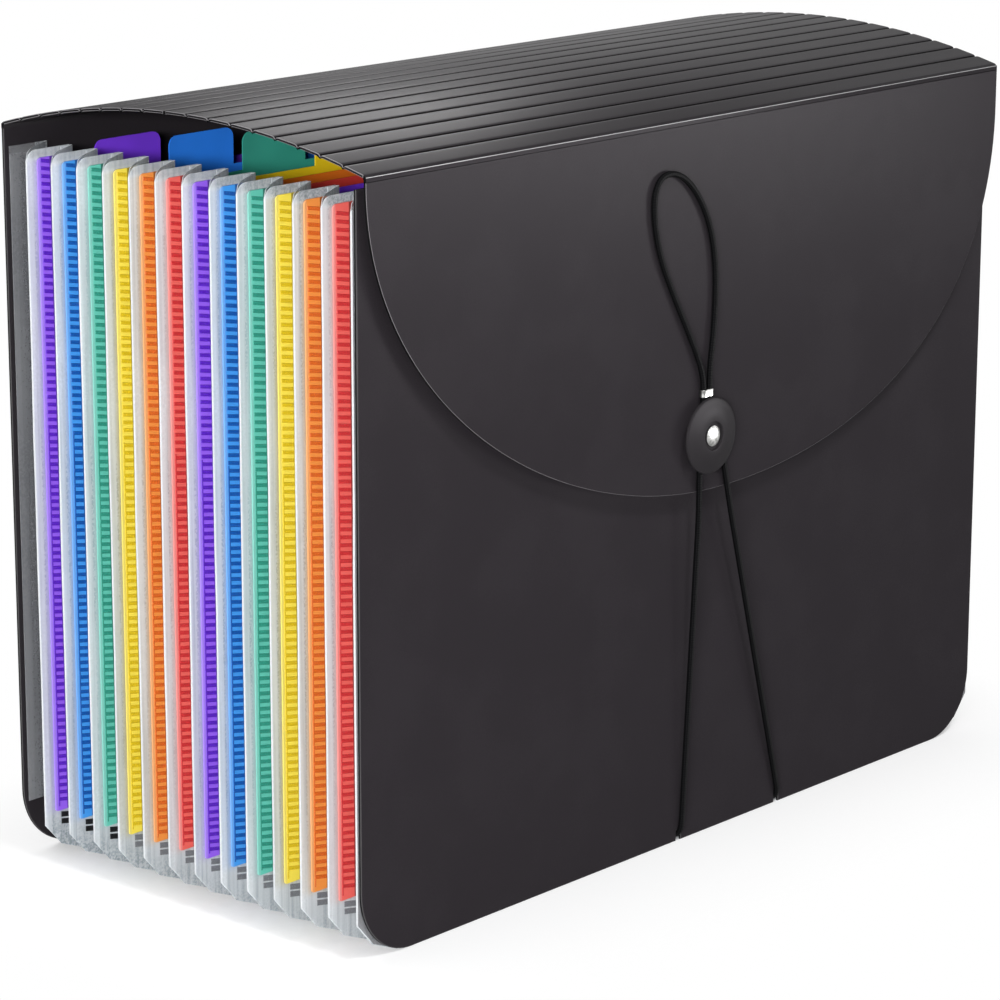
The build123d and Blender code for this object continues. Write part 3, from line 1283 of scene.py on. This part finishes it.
@dataclass
class Gussets:
    """Thirteen film gussets, folded round the two sides and the bottom of the pockets."""

    blocks: Ladder
    plain: bpy.types.Material
    backed: bpy.types.Material
    burnt: bpy.types.Material
    greyed: bpy.types.Material
    frost: Colour
    frost_shade: Colour
    opacity: float
    count: int = 13
    dark_block_count: int = 3
    film: float = 0.3
    fold: float = 18.5
    flange: float = 4.5
    ridge_bends: tuple[Point, ...] = ((18.0, 0.0), (7.0, 4.4), (0.0, 12.4))
    valley_bends: tuple[Point, ...] = ((30.0, 18.5), (22.5, 20.3), (18.5, 23.5))
    overhang: float = 0.7
    top_radius: float = 4.0
    ridge_radius: float = 0.18
    ridge_steps: int = 8
    valley_radius: float = 0.35
    valley_steps: int = 5
    back_inset: float = 2.0
    back_bottom: float = 18.5
    block_span: tuple[float, float] = (11.5, 16.6)
    travel: float = 116.6
    panel_rim: float = 0.08
    slant_shares: tuple[float, ...] = (0.25, 0.5, 0.75, 0.92)
    facet_insets: tuple[float, ...] = (1.0, 1.8, 2.8, 6.0, 9.0, 13.0)
    stations: int = 10
    wobble: float = 0.12
    waves: tuple[tuple[float, float, float], ...] = ((1.0, 0.045, 1.0), (0.6, 0.11, 2.3))
    phase_step: float = 1.7
    tinted: dict[str, bpy.types.Material] = field(default_factory=dict)

    def profile(self, rear: float, fore: float) -> list[tuple[float, float, int]]:
        """Middle line of the film across one side: inset, depth and finish number.

        Args:
            rear: Depth of the flange on the sheet behind.
            fore: Depth of the facet on the sheet in front.

        Returns:
            Points from the flange, over the valley and the ridge, to the end of the facet.
        """
        valley = Vector((self.fold - self.valley_radius, rear - self.valley_radius))
        ridge = Vector((self.ridge_radius, fore + self.ridge_radius))
        across = ridge - valley
        spread = math.acos((self.valley_radius + self.ridge_radius) / across.length)
        lean = math.degrees(math.atan2(across.y, across.x) + spread) % 360 - 360
        bottom = arc(tuple(valley), self.valley_radius, 90, lean, self.valley_steps)
        crown = arc(tuple(ridge), self.ridge_radius, lean + 180, 270, self.ridge_steps)
        (u0, v0), (u1, v1) = bottom[-1], crown[0]
        slant = [(u0 + (u1 - u0) * share, v0 + (v1 - v0) * share) for share in self.slant_shares]
        folds = [(self.fold - self.flange, rear), *bottom, *slant, *crown]
        insets = sorted((*self.facet_insets, self.top_radius, self.fold))
        return [(u, v, 0) for u, v in folds] + [(inset, fore, 1) for inset in insets]

    def path(
        self, inset: float, depth: float, low: Vector, high: Vector, phase: float
    ) -> list[Vector]:
        """Run of one film point down the left side, along the bottom and up the right side.

        Args:
            inset: Distance in from the ridge.
            depth: Place along Y.
            low: Lowest corner of the gusset.
            high: Its highest corner.
            phase: Shift of the slight waves in the sides.

        Returns:
            Points in order.
        """
        top, corner = high.z, self.top_radius
        if inset < corner:
            top += math.sqrt(corner**2 - (corner - inset) ** 2) - corner
        share = inset / self.fold
        right = []
        for ridge, valley in zip(self.ridge_bends, self.valley_bends):
            run, rise = (one + (two - one) * share for one, two in zip(ridge, valley))
            right.append(Vector((high.x - run, depth, low.z + rise)))
        knee = right[-1].z
        for i in range(1, self.stations + 1):
            z = knee + (top - knee) * i / self.stations
            wave = sum(size * math.sin(z * rate + turn * phase) for size, rate, turn in self.waves)
            swing = self.wobble * math.sin(math.pi * i / self.stations) * wave
            right.append(Vector((high.x - inset + swing, depth, z)))
        left = [Vector((-p.x, p.y, p.z)) for p in reversed(right)]
        return left + right

    def draw_film(self, draft: Draft, number: int, low: Vector, high: Vector) -> None:
        """Draw the folded film of one pocket as a closed skin.

        Args:
            draft: Piece to draw in.
            number: Number of the pocket.
            low: Lowest corner of the gusset.
            high: Its highest corner.
        """
        half_film = self.film / 2
        phase = number * self.phase_step
        line = self.profile(high.y - half_film, low.y + half_film)
        offsets = []
        for before, after in zip(line[:1] + line, line[1:] + line[-1:]):
            along = Vector((after[0] - before[0], after[1] - before[1])).normalized()
            offsets.append(Vector((along.y, -along.x)) * half_film)
        sides = []
        for sign in (1, -1):
            rows = []
            for (u, v, _), shift in zip(line, offsets):
                inset = max(0.0, u + sign * shift.x)
                depth = v + sign * shift.y
                rows.append(draft.ring(self.path(inset, depth, low, high, phase)))
            sides.append(rows)
        marks = [max(one[2], two[2]) for one, two in zip(line, line[1:])]
        for rows in sides:
            for one, two, mark in zip(rows, rows[1:], marks):
                draft.bridge(one, two, mark, closed=False)
        outer, inner = sides
        draft.bridge(outer[0], inner[0], 0, closed=False)
        draft.bridge(outer[-1], inner[-1], marks[-1], closed=False)
        for end in (0, -1):
            for i, mark in enumerate(marks):
                edge = [outer[i], outer[i + 1], inner[i + 1], inner[i]]
                draft.face([row[end] for row in edge], mark)

    def draw_back_panels(self, draft: Draft, high: Vector) -> None:
        """Draw the film that lies on the back cover, at both sides.

        Args:
            draft: Piece to draw in.
            high: Highest corner of the gusset.
        """
        edge, bottom = high.x - self.overhang, self.back_bottom
        for side in (-1, 1):
            left, right = sorted((side * (edge - self.back_inset), side * (edge - self.fold)))
            panel = [(left, bottom), (right, bottom), (right, high.z), (left, high.z)]
            draft.slab(panel, (high.y, high.y - self.film), self.panel_rim, upright, (2, 2))

    def follow(self, made: bpy.types.Object, number: int, fore: float, rear: float) -> None:
        """Work out how one film would slide between the two sheets that it joins, and give it its
        own mesh.

        Args:
            made: Film piece.
            number: Number of the pocket.
            fore: Depth at which the film meets the sheet in front.
            rear: Depth at which it meets the sheet behind.
        """
        step = self.travel / self.count
        lost = step / (rear - fore)
        anchor = Vector((0.0, rear + (number - 1) * step / lost, 0.0)) * MM
        1.0 - lost
        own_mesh(made)

    def facet_finish(self, number: int) -> bpy.types.Material:
        """Make film that takes up the colour of the divider in front of it.

        Args:
            number: Number of the pocket.

        Returns:
            The material, one for each colour.
        """
        if number == self.count:
            return self.backed
        tint = Tint.at(number)
        if tint.name not in self.tinted:
            finish = FilmFinish(
                "film_" + tint.name.lower(), self.frost, self.frost_shade, tint.glow, self.opacity
            )
            self.tinted[tint.name] = finish.material()
        return self.tinted[tint.name]

    def build(self) -> None:
        """Draw the gussets."""
        for number in range(1, self.count + 1):
            node = f"gusset_{number:02d}"
            low, high = node_box(node)
            draft = Draft()
            self.draw_film(draft, number, low, high)
            if number < self.count:
                self.blocks.draw(draft, number, low.y, *self.block_span, 3)
            if number == 1:
                self.draw_back_panels(draft, high)
            # Weld blocks of the back pockets are nearly black and the rest grey: painted shade.
            weld = self.burnt if number <= self.dark_block_count else self.greyed
            finishes = [self.plain, self.facet_finish(number), self.backed, weld]
            made = draft.piece(f"film_{node}", finishes, crease=50.0)
            dress(made, "back", "frosted_film", [node])
            self.follow(made, number, low.y, high.y)


@dataclass
class Button:
    """Disc that the cord is wound under, with its rivet and washer."""

    disc: bpy.types.Material
    metal: bpy.types.Material
    steps: int = 96
    rim: float = 13.0
    rim_drop: float = 1.5
    back_edge: float = 0.35
    edge_steps: int = 4
    front_edge: float = 0.6
    front_edge_drop: float = 0.1
    front_edge_turn: float = 75.0
    front_edge_steps: int = 5
    dome_inset: float = 1.0
    dome_start: float = 0.45
    dome_steps: int = 8
    hub: float = 2.6
    hub_height: float = 2.5
    bore: float = 1.55
    recess: float = 4.8
    recess_depth: float = 0.8
    recess_edge: float = 0.25
    recess_land: float = 0.4
    shank: float = 1.5
    tail: float = 2.5
    tail_height: float = 0.8
    head: float = 3.5
    head_gap: float = 0.1
    head_lip: float = 0.25
    lip_chamfer: Point = (0.1, 0.12)
    head_steps: int = 10
    axis: float = 0.001
    washer: float = 4.5

    def disc_profile(self, foot: float, front: float) -> list[Point]:
        """Cross-section of the disc: a hub, a rounded rim, a low dome and a recess for the rivet.

        Args:
            foot: Height of the hub's foot.
            front: Height of the dome.

        Returns:
            Points of radius and height.
        """
        back = foot + self.hub_height
        rim_front = front - self.rim_drop
        floor = front - self.recess_depth
        rear, fore, lip = self.back_edge, self.front_edge, self.recess_edge
        profile = [(self.bore, foot), (self.hub, foot), (self.hub, back)]
        profile += arc((self.rim - rear, back + rear), rear, 270, 360, self.edge_steps)
        shoulder = (self.rim - fore, rim_front - self.front_edge_drop)
        profile += arc(shoulder, fore, 0, self.front_edge_turn, self.front_edge_steps)
        outer, inner = self.rim - self.dome_inset, self.recess + self.recess_land
        start = rim_front + self.dome_start
        for i in range(1, self.dome_steps + 1):
            share = i / self.dome_steps
            height = start + (front - start) * math.sin(share * math.pi / 2)
            profile.append((outer + (inner - outer) * share, height))
        profile += arc((self.recess + lip, front - lip), lip, 90, 180, self.edge_steps)
        return profile + [(self.recess, floor), (self.bore, floor)]

    def build(self) -> None:
        """Draw the disc, the rivet and the washer."""
        disc_low, disc_high = node_box("button_disc")
        rivet_low, rivet_high = node_box("button_rivet")
        washer_low, washer_high = node_box("rivet_washer")
        centre = ((disc_low.x + disc_high.x) / 2, 0.0, (disc_low.z + disc_high.z) / 2)
        draft = Draft()
        draft.lathe(self.disc_profile(-disc_high.y, -disc_low.y), centre, self.steps)
        cap = draft.piece("button_cap", [self.disc], crease=40.0)
        dress(cap, "button", "button_black", ["button_disc"])
        seat = -disc_low.y - self.recess_depth + self.head_gap
        self.build_rivet(centre, -rivet_low.y, seat, -rivet_high.y)
        draft = Draft()
        inner, outer = -washer_high.y, -washer_low.y
        ring = [(self.bore, inner), (self.washer, inner), (self.washer, outer), (self.bore, outer)]
        draft.lathe(ring, centre, self.steps)
        dress(draft.piece("washer_ring", [self.metal]), "flap", "bright_metal", ["rivet_washer"])

    def build_rivet(self, centre: Sequence[float], top: float, seat: float, tail: float) -> None:
        """Draw the rivet: a domed head with a rolled lip, a shank and a clenched tail.

        Args:
            centre: Point on its axis.
            top: Height of the head's crown.
            seat: Height of the face under the head.
            tail: Height of the tail's end.
        """
        rise = top - seat - self.head_lip
        dome = (self.head**2 + rise**2) / (2 * rise)
        half = math.asin(self.head / dome)
        neck = tail + self.tail_height
        cut_in, cut_up = self.lip_chamfer
        profile = [(self.axis, tail), (self.tail, tail), (self.tail, neck)]
        profile += [(self.shank, neck), (self.shank, seat)]
        profile += [(self.head - cut_in, seat), (self.head, seat + cut_up)]
        for i in range(self.head_steps + 1):
            angle = half * (1 - i / self.head_steps)
            radius = max(self.axis, dome * math.sin(angle))
            profile.append((radius, top - dome * (1 - math.cos(angle))))
        draft = Draft()
        draft.lathe(profile, centre, self.steps)
        rivet = draft.piece("rivet_head", [self.metal], crease=50.0)
        dress(rivet, "flap", "bright_metal", ["button_rivet"])


@dataclass
class ElasticCord:
    """Elastic cord with its crimp: two legs, a turn under the button and a finger loop."""

    braid: bpy.types.Material
    metal: bpy.types.Material
    diameter: float = 2.0
    length: float = 499.4
    lay: float = 1.15
    lift: float = 1.5
    clearance: float = 0.1
    knot: float = 4.0
    knot_height: float = 2.1
    knot_scale: float = 0.42
    knot_strand: float = 0.72
    knot_nudge: float = 0.01
    knot_steps: int = 60
    knot_sides: int = 8
    notches: tuple[float, float] = CORD_NOTCHES
    notch_height: float = 1.6
    leg_reach: float = 6.0
    button_height: float = 142.6
    crimp_rise: float = 14.5
    crimp_length: float = 2.5
    crimp_wall: float = 0.25
    crimp_pinch: float = 0.45
    crimp_chamfer: float = 0.15
    crimp_waist: float = 0.08
    crimp_steps: int = 12
    crimp_x: float = -2.7
    strand_spacing: float = 3.2
    sides: int = 14
    resolution: int = 16
    hang_share: float = 0.3

    def __post_init__(self) -> None:
        """Work out the depths that the cord runs at."""
        flap = node_box("flap")[0].y
        cover_low, cover_high = node_box("front_cover")
        self.y_lay = flap - self.lay
        self.y_lift = flap - self.lift
        self.y_leg = cover_low.y - self.diameter / 2 - self.clearance
        self.y_knot = cover_high.y + self.clearance + self.knot / 2

    def route(self) -> list[tuple[float, float, float]]:
        """Lay the cord from the left notch, round the button and the loop, to the right notch.

        Returns:
            Control points.
        """
        lay, lift, leg, tied = self.y_lay, self.y_lift, self.y_leg, self.y_knot
        left, right = self.notches
        low = self.notch_height
        strand_left = self.crimp_x - self.strand_spacing / 2
        strand_right = self.crimp_x + self.strand_spacing / 2
        rises = [
            (-5.2, lay, -25.6),
            (-5.9, lift, 0.0),
            (strand_left, lift, 11.0),
            (strand_left, lift, 20.4),
            (-8.9, lay - 0.2, 30.4),
            (-20.3, lay, 49.9),
            (-27.3, lay, 62.9),
            (-30.6, lay, 74.9),
            (-30.9, lay, 84.4),
            (-27.6, lay, 89.8),
            (-20.8, lay, 90.6),
            (-13.2, lay, 87.0),
            (-5.6, lay, 78.6),
            (-0.6, lay, 68.4),
            (1.8, lay, 56.9),
            (2.0, lay, 43.9),
            (0.6, lay - 0.2, 31.9),
            (strand_right, lift, 22.4),
            (strand_right, lift, 9.9),
            (4.5, lift, 0.9),
            (11.2, lay, -25.6),
        ]
        middle = [(x, y, self.button_height + rise) for x, y, rise in rises]
        left_foot, right_foot = (left, leg, low), (right, leg, low)
        legs = []
        for foot, edge in ((left_foot, middle[0]), (right_foot, middle[-1])):
            run = Vector(edge) - Vector(foot)
            reach = self.leg_reach * self.diameter / run.length
            legs.append([tuple(Vector(foot) + run * share) for share in (reach, 1 - reach)])
        start = [(left, tied, low), left_foot, *legs[0]]
        end = [*reversed(legs[1]), right_foot, (right, tied, low)]
        return start + middle + end

    def line(self) -> list[Vector]:
        """Smooth the line of the cord.

        Returns:
            Points along it, in metres.
        """
        curve = bpy.data.curves.new("cord_line", "CURVE")
        curve.dimensions = "3D"
        spline = curve.splines.new("NURBS")
        route = self.route()
        spline.points.add(len(route) - 1)
        for point, place in zip(spline.points, route):
            point.co = (*(Vector(place) * MM), 1.0)
        spline.order_u = 3
        spline.use_endpoint_u = True
        spline.resolution_u = self.resolution
        holder = bpy.data.objects.new("cord_line", curve)
        bpy.context.scene.collection.objects.link(holder)
        bpy.context.view_layer.update()
        depsgraph = bpy.context.evaluated_depsgraph_get()
        mesh = bpy.data.meshes.new_from_object(holder.evaluated_get(depsgraph))
        points = [vertex.co.copy() for vertex in mesh.vertices]
        bpy.data.objects.remove(holder)
        bpy.data.curves.remove(curve)
        bpy.data.meshes.remove(mesh)
        return points

    def tube(self, points: list[Vector]) -> bpy.types.Object:
        """Draw a tube along the line, with its length and turn as UV for the braid.

        Args:
            points: Points along the line, in metres.

        Returns:
            The tube.
        """
        radius = self.diameter / 2
        turns = [2 * math.pi * j / self.sides for j in range(self.sides)]
        draft = Draft()
        rings = []
        side = Vector((1.0, 0.0, 0.0))
        run = 0.0
        runs = []
        for i, point in enumerate(points):
            ahead = (points[min(i + 1, len(points) - 1)] - points[max(i - 1, 0)]).normalized()
            side = (side - ahead * side.dot(ahead)).normalized()
            up = ahead.cross(side)
            run += (point - points[i - 1]).length if i else 0.0
            runs.append(run)
            spokes = [(side * math.cos(t) + up * math.sin(t)) * radius for t in turns]
            rings.append(draft.ring([point / MM + spoke for spoke in spokes]))
        for one, two in zip(rings, rings[1:]):
            draft.bridge(one, two)
        draft.face(list(reversed(rings[0])))
        draft.face(rings[-1])
        made = draft.piece("cord_tube", [self.braid], crease=60.0)
        layer = made.data.uv_layers.new(name="braid")
        for face in made.data.polygons:
            columns = [vertex % self.sides for vertex in face.vertices]
            wraps = max(columns) - min(columns) > self.sides / 2
            for loop, vertex, column in zip(face.loop_indices, face.vertices, columns):
                turn = column + self.sides if wraps and column < self.sides / 2 else column
                layer.data[loop].uv = (runs[vertex // self.sides], turn / self.sides)
        return made

    def knot_line(self, t: float) -> Vector:
        """Find a point on the middle line of an overhand knot, before it is scaled.

        Args:
            t: Place along the line, from 0 to 2 pi.

        Returns:
            The point.
        """
        x = math.sin(t) + 2 * math.sin(2 * t)
        z = math.cos(t) - 2 * math.cos(2 * t)
        return Vector((x, -math.sin(3 * t), z))

    def knot_piece(self, name: str, x: float) -> bpy.types.Object:
        """Draw a small overhand knot behind the front cover.

        Args:
            name: Name of the piece.
            x: Place of the knot.

        Returns:
            The dressed piece.
        """
        middle = Vector((x, self.y_knot, self.knot_height))
        turns = [2 * math.pi * j / self.knot_sides for j in range(self.knot_sides)]
        draft = Draft()
        rings = []
        for i in range(self.knot_steps):
            t = 2 * math.pi * i / self.knot_steps
            place = self.knot_line(t)
            ahead = (self.knot_line(t + self.knot_nudge) - place).normalized()
            side = ahead.cross(Vector((0.0, 1.0, 0.0))).normalized()
            up = ahead.cross(side)
            spokes = [(side * math.cos(a) + up * math.sin(a)) * self.knot_strand for a in turns]
            rings.append(draft.ring([middle + place * self.knot_scale + spoke for spoke in spokes]))
        draft.loop(rings)
        return dress(draft.piece(name, [self.braid], crease=60.0), "front", "elastic_black")

    def crimp_piece(self) -> bpy.types.Object:
        """Draw the flat metal sleeve round the two strands.

        Returns:
            The dressed piece.
        """
        bore = self.diameter / 2 + self.clearance
        outer = bore + self.crimp_wall
        reach = self.strand_spacing / 2
        height = self.button_height + self.crimp_rise
        low, high = height - self.crimp_length / 2, height + self.crimp_length / 2
        cut, x, y = self.crimp_chamfer, self.crimp_x, self.y_lift
        half = [(bore, low), (outer - cut, low), (outer, low + cut)]
        waist = (outer - self.crimp_waist, height)
        profile = half + [waist, (outer, high - cut), (outer - cut, high), (bore, high)]
        draft = Draft()
        rings = []
        for radius, z in profile:
            right = arc((x + reach, y), radius, -90, 90, self.crimp_steps)
            left = arc((x - reach, y), radius, 90, 270, self.crimp_steps)
            dip = radius - self.crimp_pinch
            outline = right + [(x, y + dip)] + left + [(x, y - dip)]
            rings.append(draft.ring([(u, v, z) for u, v in outline]))
        draft.loop(rings)
        made = draft.piece("crimp_sleeve", [self.metal])
        return dress(made, "front", "bright_metal", ["cord_crimp"])

    def build(self) -> None:
        """Draw the cord, its knots and its crimp."""
        points = self.line()
        cord = dress(self.tube(points), "front", "elastic_black", ["elastic_cord"])
        crimp = self.crimp_piece()
        sides = zip(("left", "right"), self.notches)
        knots = [self.knot_piece(f"cord_knot_{side}", x) for side, x in sides]
        for piece in (cord, crimp):
            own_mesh(piece)
        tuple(points[0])


@dataclass(frozen=True)
class Lamp:
    """One soft light: a lit rectangle, with its places and sizes in metres."""

    name: str
    place: tuple[float, float, float]
    target: tuple[float, float, float]
    size: tuple[float, float]
    watts: float
    shine_only: bool = False

    def build(self) -> None:
        """Add the light."""
        data = bpy.data.lights.new(self.name, "AREA")
        data.shape = "RECTANGLE"
        data.size, data.size_y = self.size
        data.energy = self.watts
        lamp = bpy.data.objects.new(self.name, data)
        lamp.location = self.place
        lamp.visible_diffuse = not self.shine_only
        turn = (Vector(self.target) - Vector(self.place)).to_track_quat("-Z", "Y")
        lamp.rotation_euler = turn.to_euler()
        bpy.context.scene.collection.objects.link(lamp)


@dataclass
class Studio:
    """Camera, lights, white surroundings and floor."""

    eye: tuple[float, float, float] = (-977.6, -846.05, 434.2)
    aim: tuple[float, float, float] = (-10.38, 4.65, 107.5)
    roll: float = 0.07
    lens: float = 137.34
    sensor: float = 36.0
    ambient: float = 0.2
    floor: FloorFinish = FloorFinish("floor")
    floor_size: float = 30000.0
    floor_height: float = -0.05
    lamps: tuple[Lamp, ...] = (
        Lamp("key", (-0.3, -1.0, 1.8), (0.0, 0.0, 0.12), (0.35, 0.35), 21.0),
        Lamp("side", (-1.69, -0.97, 0.53), (-0.1, 0.0, 0.18), (0.7, 0.14), 41.0),
        Lamp("top", (-0.5, 0.6, 1.6), (0.0, 0.0, 0.25), (1.2, 1.2), 12.0),
        Lamp("rear", (0.55, 0.62, 0.9), (-0.12, -0.05, 0.26), (0.3, 0.3), 8.0, True),
        Lamp("sheen", (0.76, -1.04, 0.15), (0.0, -0.08, 0.24), (0.8, 0.2), 30.0, True),
    )

    def build_camera(self) -> None:
        """Set the camera where the photograph was taken from."""
        data = bpy.data.cameras.new("camera")
        data.lens = self.lens
        data.sensor_width = self.sensor
        camera = bpy.data.objects.new("camera", data)
        turn = (Vector(self.aim) - Vector(self.eye)).to_track_quat("-Z", "Y")
        camera.rotation_mode = "QUATERNION"
        camera.rotation_quaternion = turn @ Quaternion((0.0, 0.0, 1.0), math.radians(self.roll))
        camera.location = Vector(self.eye) * MM
        bpy.context.scene.collection.objects.link(camera)
        bpy.context.scene.camera = camera

    def build_world(self) -> None:
        """Make surroundings that look white and light the object softly."""
        world = bpy.data.worlds.new("surroundings")
        world.use_nodes = True
        bpy.context.scene.world = world
        shader = Shader(world.node_tree)
        white = shader.node("ShaderNodeBackground", None, {"Color": WHITE, "Strength": 1.0})
        sky = {"Color": (0.97, 0.98, 1.0, 1.0), "Strength": self.ambient}
        light = shader.node("ShaderNodeBackground", None, sky)
        mixed = shader.node("ShaderNodeMixShader", None, {0: shader.seen(), 1: light, 2: white})
        shader.node("ShaderNodeOutputWorld", None, {"Surface": mixed})

    def build_floor(self) -> None:
        """Lay the floor."""
        draft = Draft()
        reach = self.floor_size / 2
        square = ((-reach, -reach), (reach, -reach), (reach, reach), (-reach, reach))
        draft.face(draft.ring([(x, y, self.floor_height) for x, y in square]))
        floor = draft.piece("floor", [self.floor.material()])

    def build(self) -> None:
        """Build the studio."""
        self.build_camera()
        self.build_world()
        self.build_floor()
        for lamp in self.lamps:
            lamp.build()
        bpy.context.scene.view_settings.view_transform = "Standard"
        log.info("studio with %d lamps", len(self.lamps))


def main() -> None:
    """Build every piece, then the studio."""
    logging.basicConfig(level=logging.INFO, format="%(name)s: %(message)s")
    sheets = (
        SheetFinish("black_polypropylene", paint(40, 37, 40), paint(42, 39, 42), 0.27, gloss=0.01),
        SheetFinish("lid_polypropylene", paint(38, 36, 38), paint(41, 39, 41), 0.36, gloss=0.01),
        # The sheets' cut sides, nearly black: painted shade.
        SheetFinish("shaded_cut_edge", paint(9, 9, 10), paint(12, 12, 13), 0.5, gloss=0.03),
        # Rim finishes, lighter than the sheet: painted highlights.
        SheetFinish("cover_rim_highlight", paint(66, 65, 66), paint(58, 57, 58), 0.5, gloss=0.03),
        SheetFinish("rim_highlight", paint(104, 102, 104), paint(94, 92, 94), 0.5, gloss=0.03),
        # Score lines, near black: painted shade.
        SheetFinish("score_line_shade", paint(14, 13, 14), paint(18, 17, 18), 0.6, gloss=0.02),
        # A pale line along the hinge crease: painted highlight.
        SheetFinish("crease_painted_highlight", paint(164, 163, 164), paint(146, 145, 146), 0.5, gloss=0.02),
        SheetFinish("button_plastic", paint(36, 34, 36), paint(39, 37, 39), 0.36, 0.3, gloss=0.02),
    )
    black, bowed, edge_shade, cover_rim_highlight, rim_highlight, score_shade, crease_highlight, disc = (
        sheet.material() for sheet in sheets
    )
    metal = MetalFinish("nickelled_metal", paint(158, 158, 156), 0.3).material()
    braid = BraidFinish("elastic_braid", paint(7, 7, 8), paint(20, 20, 21)).material()
    frost, frost_shade, opacity = paint(218, 222, 225), paint(146, 156, 161), 0.72
    plain_film = FilmFinish("plain_film", frost, frost_shade, frost, opacity).material()
    # Film on black, tinted darker towards the inside of the folder: painted shade.
    backed_film = FilmFinish(
        "film_on_black", paint(136, 137, 140), paint(112, 113, 117), paint(62, 64, 70), 0.64,
        wash=0.0, stain=0.8, tint_start=162.5, tint_end=150.0,
    ).material()
    # Weld blocks on the film, nearly black at the back pockets and grey further on: painted shade.
    burnt_weld = WeldFinish("burnt_weld", paint(16, 16, 18)).material()
    grey_weld = WeldFinish("grey_weld", paint(108, 110, 114)).material()
    ladder = Ladder()
    ElasticCord(braid, metal).build()
    Covers(black, edge_shade, cover_rim_highlight, rim_highlight).build()
    Lid(bowed, edge_shade, score_shade, crease_highlight, rim_highlight, black).build()
    Dividers(ladder).build()
    blocks = replace(
        ladder, outer=158.8, inner=153.0, inner_step=0.0, pitch=2.45, bar=1.9, phase=11.6, drift=0.0
    )
    film = (plain_film, backed_film, burnt_weld, grey_weld)
    Gussets(blocks, *film, frost, frost_shade, opacity).build()
    Button(disc, metal).build()
    Studio().build()


if __name__ == "__main__":
    main()
